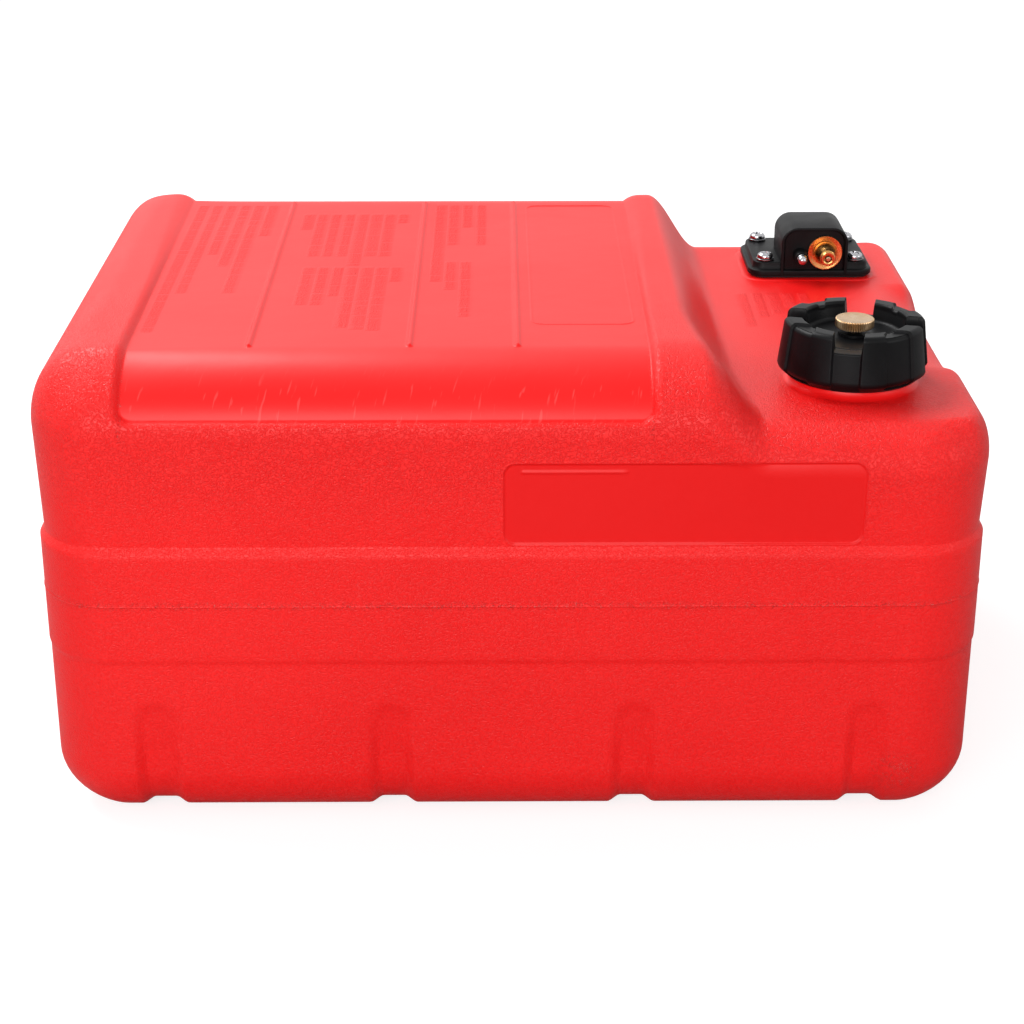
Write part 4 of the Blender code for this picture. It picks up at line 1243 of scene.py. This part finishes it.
def along_y(name, profile, segments, centre, material, slot, node):
    """A turned metal piece that points to the front."""
    turned_piece(name, profile, segments, centre, material, slot, (node,), "Y", 45)


def connector(brass, copper, chrome):
    """Disc, nipple and locating pin."""
    radius = (disc_box_high.x - disc_box_low.x) / 2
    thick = recess_wall - disc_box_low.y
    edge = disc_edge
    disc = [(disc_bore, edge), (radius - edge, edge), (radius, 2 * edge), (radius, thick - edge)]
    disc += [(radius - edge, thick), (radius - 0.0008, thick)]
    disc += [(radius - 0.0010, thick - 0.0001), (disc_bore, thick - 0.0001)]
    along_y("connector_disc", disc, 96, disc_centre, copper, "copper", "connector_flange")
    tip = recess_wall - nipple_box_low.y
    base = thick + disc_edge
    nipple = [(nipple_tail[0], nipple_tail[1] - nipple_tail_length)]
    nipple += [(r, base + out) for r, out in nipple_root]
    (root_radius, root_out), (end_radius, end_back) = nipple_cone
    nipple += run_points((root_radius, base + root_out), (end_radius, tip - end_back), 6)
    nipple += [(r, tip - back) for r, back in nipple_tip]
    along_y("connector_nipple", nipple, 72, disc_centre, brass, "brass", "fuel_nipple")
    radius = (pin_box_high.x - pin_box_low.x) / 2
    tip = recess_wall - pin_box_low.y
    root = pin_boss_length + 0.0003
    neck = radius - 0.0002
    pin = [(pin_shank_radius, -pin_shank_length), (pin_shank_radius, root)]
    pin += [(radius - 0.0003, root), (radius, root + 0.0003), (radius, tip - radius - 0.0010)]
    pin += [(neck, tip - radius - 0.0008), (neck, tip - radius)]
    pin += [
        (neck * math.cos(angle), tip - radius + radius * math.sin(angle))
        for angle in (math.pi / 2 * step / 9 for step in range(1, 9))
    ]
    along_y("location_pin", pin, 48, pin_centre, chrome, "chrome", "locating_pin")


def screw(number, chrome, dark):
    """Pan-head screw: a domed head with a crossed recess, on a plain shank."""
    name = f"flange_screw_{number}"
    low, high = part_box(f"flange_screw_{number}")
    middle = (*centre_of(low, high)[:2], 0)
    head_low = high.z - screw_head_height
    segments, rings = 96, 30
    turn = np.linspace(0, 2 * math.pi, segments, endpoint=False)
    shank = [(screw_point, low.z), (screw_shank_radius, low.z + screw_point)]
    shank += [(screw_shank_radius, head_low)]
    rim = [(screw_head_radius - screw_head_edge, head_low), (screw_head_radius, head_low + screw_head_edge)]
    rim += [(screw_head_radius, head_low + screw_head_height * screw_rim_share)]
    points = [turned(shank + rim, segments, middle)[0]]
    twist = 0.5 + number
    domed = 1 - screw_rim_share
    for ring in range(1, rings + 1):
        r = screw_head_radius * (1 - ring / (rings + 0.5))
        bulge = screw_rim_share + domed * math.sqrt(1 - (r / screw_head_radius) ** 2.6)
        u, v = r * np.cos(turn + twist), r * np.sin(turn + twist)
        arm = np.maximum(
            np.minimum(cross_half - np.abs(u), cross_arm - np.abs(v)),
            np.minimum(cross_half - np.abs(v), cross_arm - np.abs(u)),
        )
        arm = np.maximum(arm, cross_arm * 1.7 - np.hypot(u, v))
        depth = cross_depth * smooth(arm / cross_edge + 0.3) * (1 - 0.6 * r / cross_half)
        x = middle[0] + r * np.cos(turn)
        y = middle[1] + r * np.sin(turn)
        z = head_low + screw_head_height * bulge - np.maximum(depth, 0)
        points.append(np.column_stack([x, y, z]))
    points = np.concatenate(points)
    points, faces = cap_ends(points, ring_faces(len(points) // segments, segments), segments)
    place_mesh(f"joint_screw_{number}", points, faces, chrome, "tank", "chrome", (name,), sharp=40)
    name = f"screw_washer_{number}"
    low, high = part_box(f"screw_washer_{number}")
    outer = (high.x - low.x) / 2
    inner = screw_shank_radius + washer_room
    ring = [(inner, low.z), (outer - washer_bevel, low.z), (outer, low.z + washer_bevel)]
    ring += [(outer, high.z - washer_bevel), (outer - washer_bevel, high.z), (inner, high.z)]
    points, _ = turned(ring, 64, middle)
    faces = ring_faces(len(ring), 64, closed=True)
    # The washer takes the darker plating, painted shade under the screw head
    place_mesh(f"joint_washer_{number}", points, faces, dark, "tank", "chrome", (name,), sharp=30)


# Nodes of the frame that keep their shape


def dress_nodes(materials):
    """Give each carried-over node its material."""
    looks = {
        "brass": ["insert_1", "insert_2", "insert_3", "insert_4", "check_valve_plunger"],
        "rubber": ["joint_gasket", "nipple_o_ring", "cap_gasket", "vent_o_ring"],
        "black": ["vent_bush", "pickup_tube"],
        "steel": ["check_valve_spring", "vent_clip"],
        "strainer": ["pickup_strainer"],
    }
    for look, names in looks.items():
        for name in names:
            data = frame["nodes"][name].data
            if data.materials:
                data.materials[0] = materials[look]
            else:
                data.materials.append(materials[look])


# Camera, lights and floor


def camera():
    data = bpy.data.cameras.new("camera")
    data.lens = camera_lens
    data.sensor_width = camera_sensor
    data.dof.use_dof = False
    item = put("camera", data)
    item.location = camera_place
    item.rotation_euler = camera_turn
    bpy.context.scene.camera = item


def lamp(name, place, aim, size, power):
    data = bpy.data.lights.new(name, "AREA")
    data.shape = "RECTANGLE"
    data.size, data.size_y = size
    data.energy = power
    item = put(name, data)
    item.location = place
    item.rotation_euler = (Vector(aim) - Vector(place)).to_track_quat("-Z", "Y").to_euler()


def ray_share(tree, kinds):
    """1 for the listed kinds of ray, 0 for the rest."""
    path = add(tree, "LightPath")
    total = path.outputs[kinds[0]]
    for kind in kinds[1:]:
        total = maths(tree, "MAXIMUM", total, path.outputs[kind])
    return total


def world():
    """White to the camera and in reflections, and an even soft light on the object."""
    item = bpy.data.worlds.new("studio")
    item.use_nodes = True
    tree = item.node_tree
    seen = ray_share(tree, ["Is Camera Ray", "Is Glossy Ray", "Is Transmission Ray"])
    background = tree.nodes["Background"]
    background.inputs["Color"].default_value = (1, 1, 1, 1)
    tree.links.new(ranged(tree, seen, 0, 1, world_light, 1.0), background.inputs["Strength"])
    bpy.context.scene.world = item


def floor():
    """Pale floor that is white to the camera away from the object's shadow."""
    material = bpy.data.materials.new("pale floor")
    material.use_nodes = True
    tree = material.node_tree
    shader = tree.nodes["Principled BSDF"]
    shader.inputs["Base Color"].default_value = (floor_grey, floor_grey, floor_grey, 1)
    shader.inputs["Roughness"].default_value = 0.9
    shader.inputs["Specular IOR Level"].default_value = 0.0
    glow = add(tree, "Emission", {"Color": (1, 1, 1, 1)})
    seen = ray_share(tree, ["Is Camera Ray"])
    tree.links.new(ranged(tree, seen, 0, 1, 0.0, floor_glow), glow.inputs["Strength"])
    both = add(tree, "AddShader")
    tree.links.new(shader.outputs[0], both.inputs[0])
    tree.links.new(glow.outputs[0], both.inputs[1])
    tree.links.new(both.outputs[0], tree.nodes["Material Output"].inputs["Surface"])
    half = floor_size / 2
    mesh = bpy.data.meshes.new("floor")
    corners = [(-half, -half, 0), (half, -half, 0), (half, half, 0), (-half, half, 0)]
    mesh.from_pydata(corners, [], [(0, 1, 2, 3)])
    mesh.materials.append(material)
    item = put("floor", mesh)


def main():
    knob_centre = (filler.x, filler.y, 0.0)
    chrome = metal("bright plated steel", (0.50, 0.50, 0.52), (0.34, 0.34, 0.36), 0.10, 0.20, marks=0.03)
    # Painted shade: a darker copy of the plating for the washers, standing in for the shade under the screw
    # heads
    dark = metal("plated steel darkened as painted shade", (0.20, 0.20, 0.21), (0.12, 0.12, 0.13), 0.22, 0.34, marks=0.05)
    brass = metal("machined brass", (0.62, 0.43, 0.26), (0.50, 0.33, 0.18), 0.24, 0.38, knob_centre)
    turned_y = {"centre": disc_centre, "along": "Y"}
    bright = metal("bright brass", (0.66, 0.36, 0.13), (0.52, 0.25, 0.07), 0.16, 0.26, **turned_y)
    coppers = (0.74, 0.36, 0.13), (0.62, 0.27, 0.09)
    copper = metal("copper plate", *coppers, 0.22, 0.32, **turned_y, marks=0.05)
    red = tank_plastic()
    cap_black = black_plastic("black cap nylon", 1400, 0.34, 0.44)
    joint_black = black_plastic("black joint nylon", 1100, 0.38, 0.50)
    materials = {
        "brass": brass,
        "rubber": rubber(),
        "black": cap_black,
        "steel": metal("stainless steel", (0.60, 0.60, 0.60), (0.45, 0.45, 0.45), 0.22, 0.34),
        "strainer": strainer_steel(),
    }
    camera()
    for each in lamps:
        lamp(*each)
    world()
    floor()
    tank(red)
    neck_thread(red)
    cap(cap_black)
    cap_thread(cap_black)
    knob(brass)
    base_plate(joint_black)
    hood(joint_black)
    spigot(joint_black)
    connector(bright, copper, chrome)
    for number in range(1, 5):
        screw(number, chrome, dark)
    dress_nodes(materials)


bpy.context.scene.view_settings.view_transform = "Standard"
main()
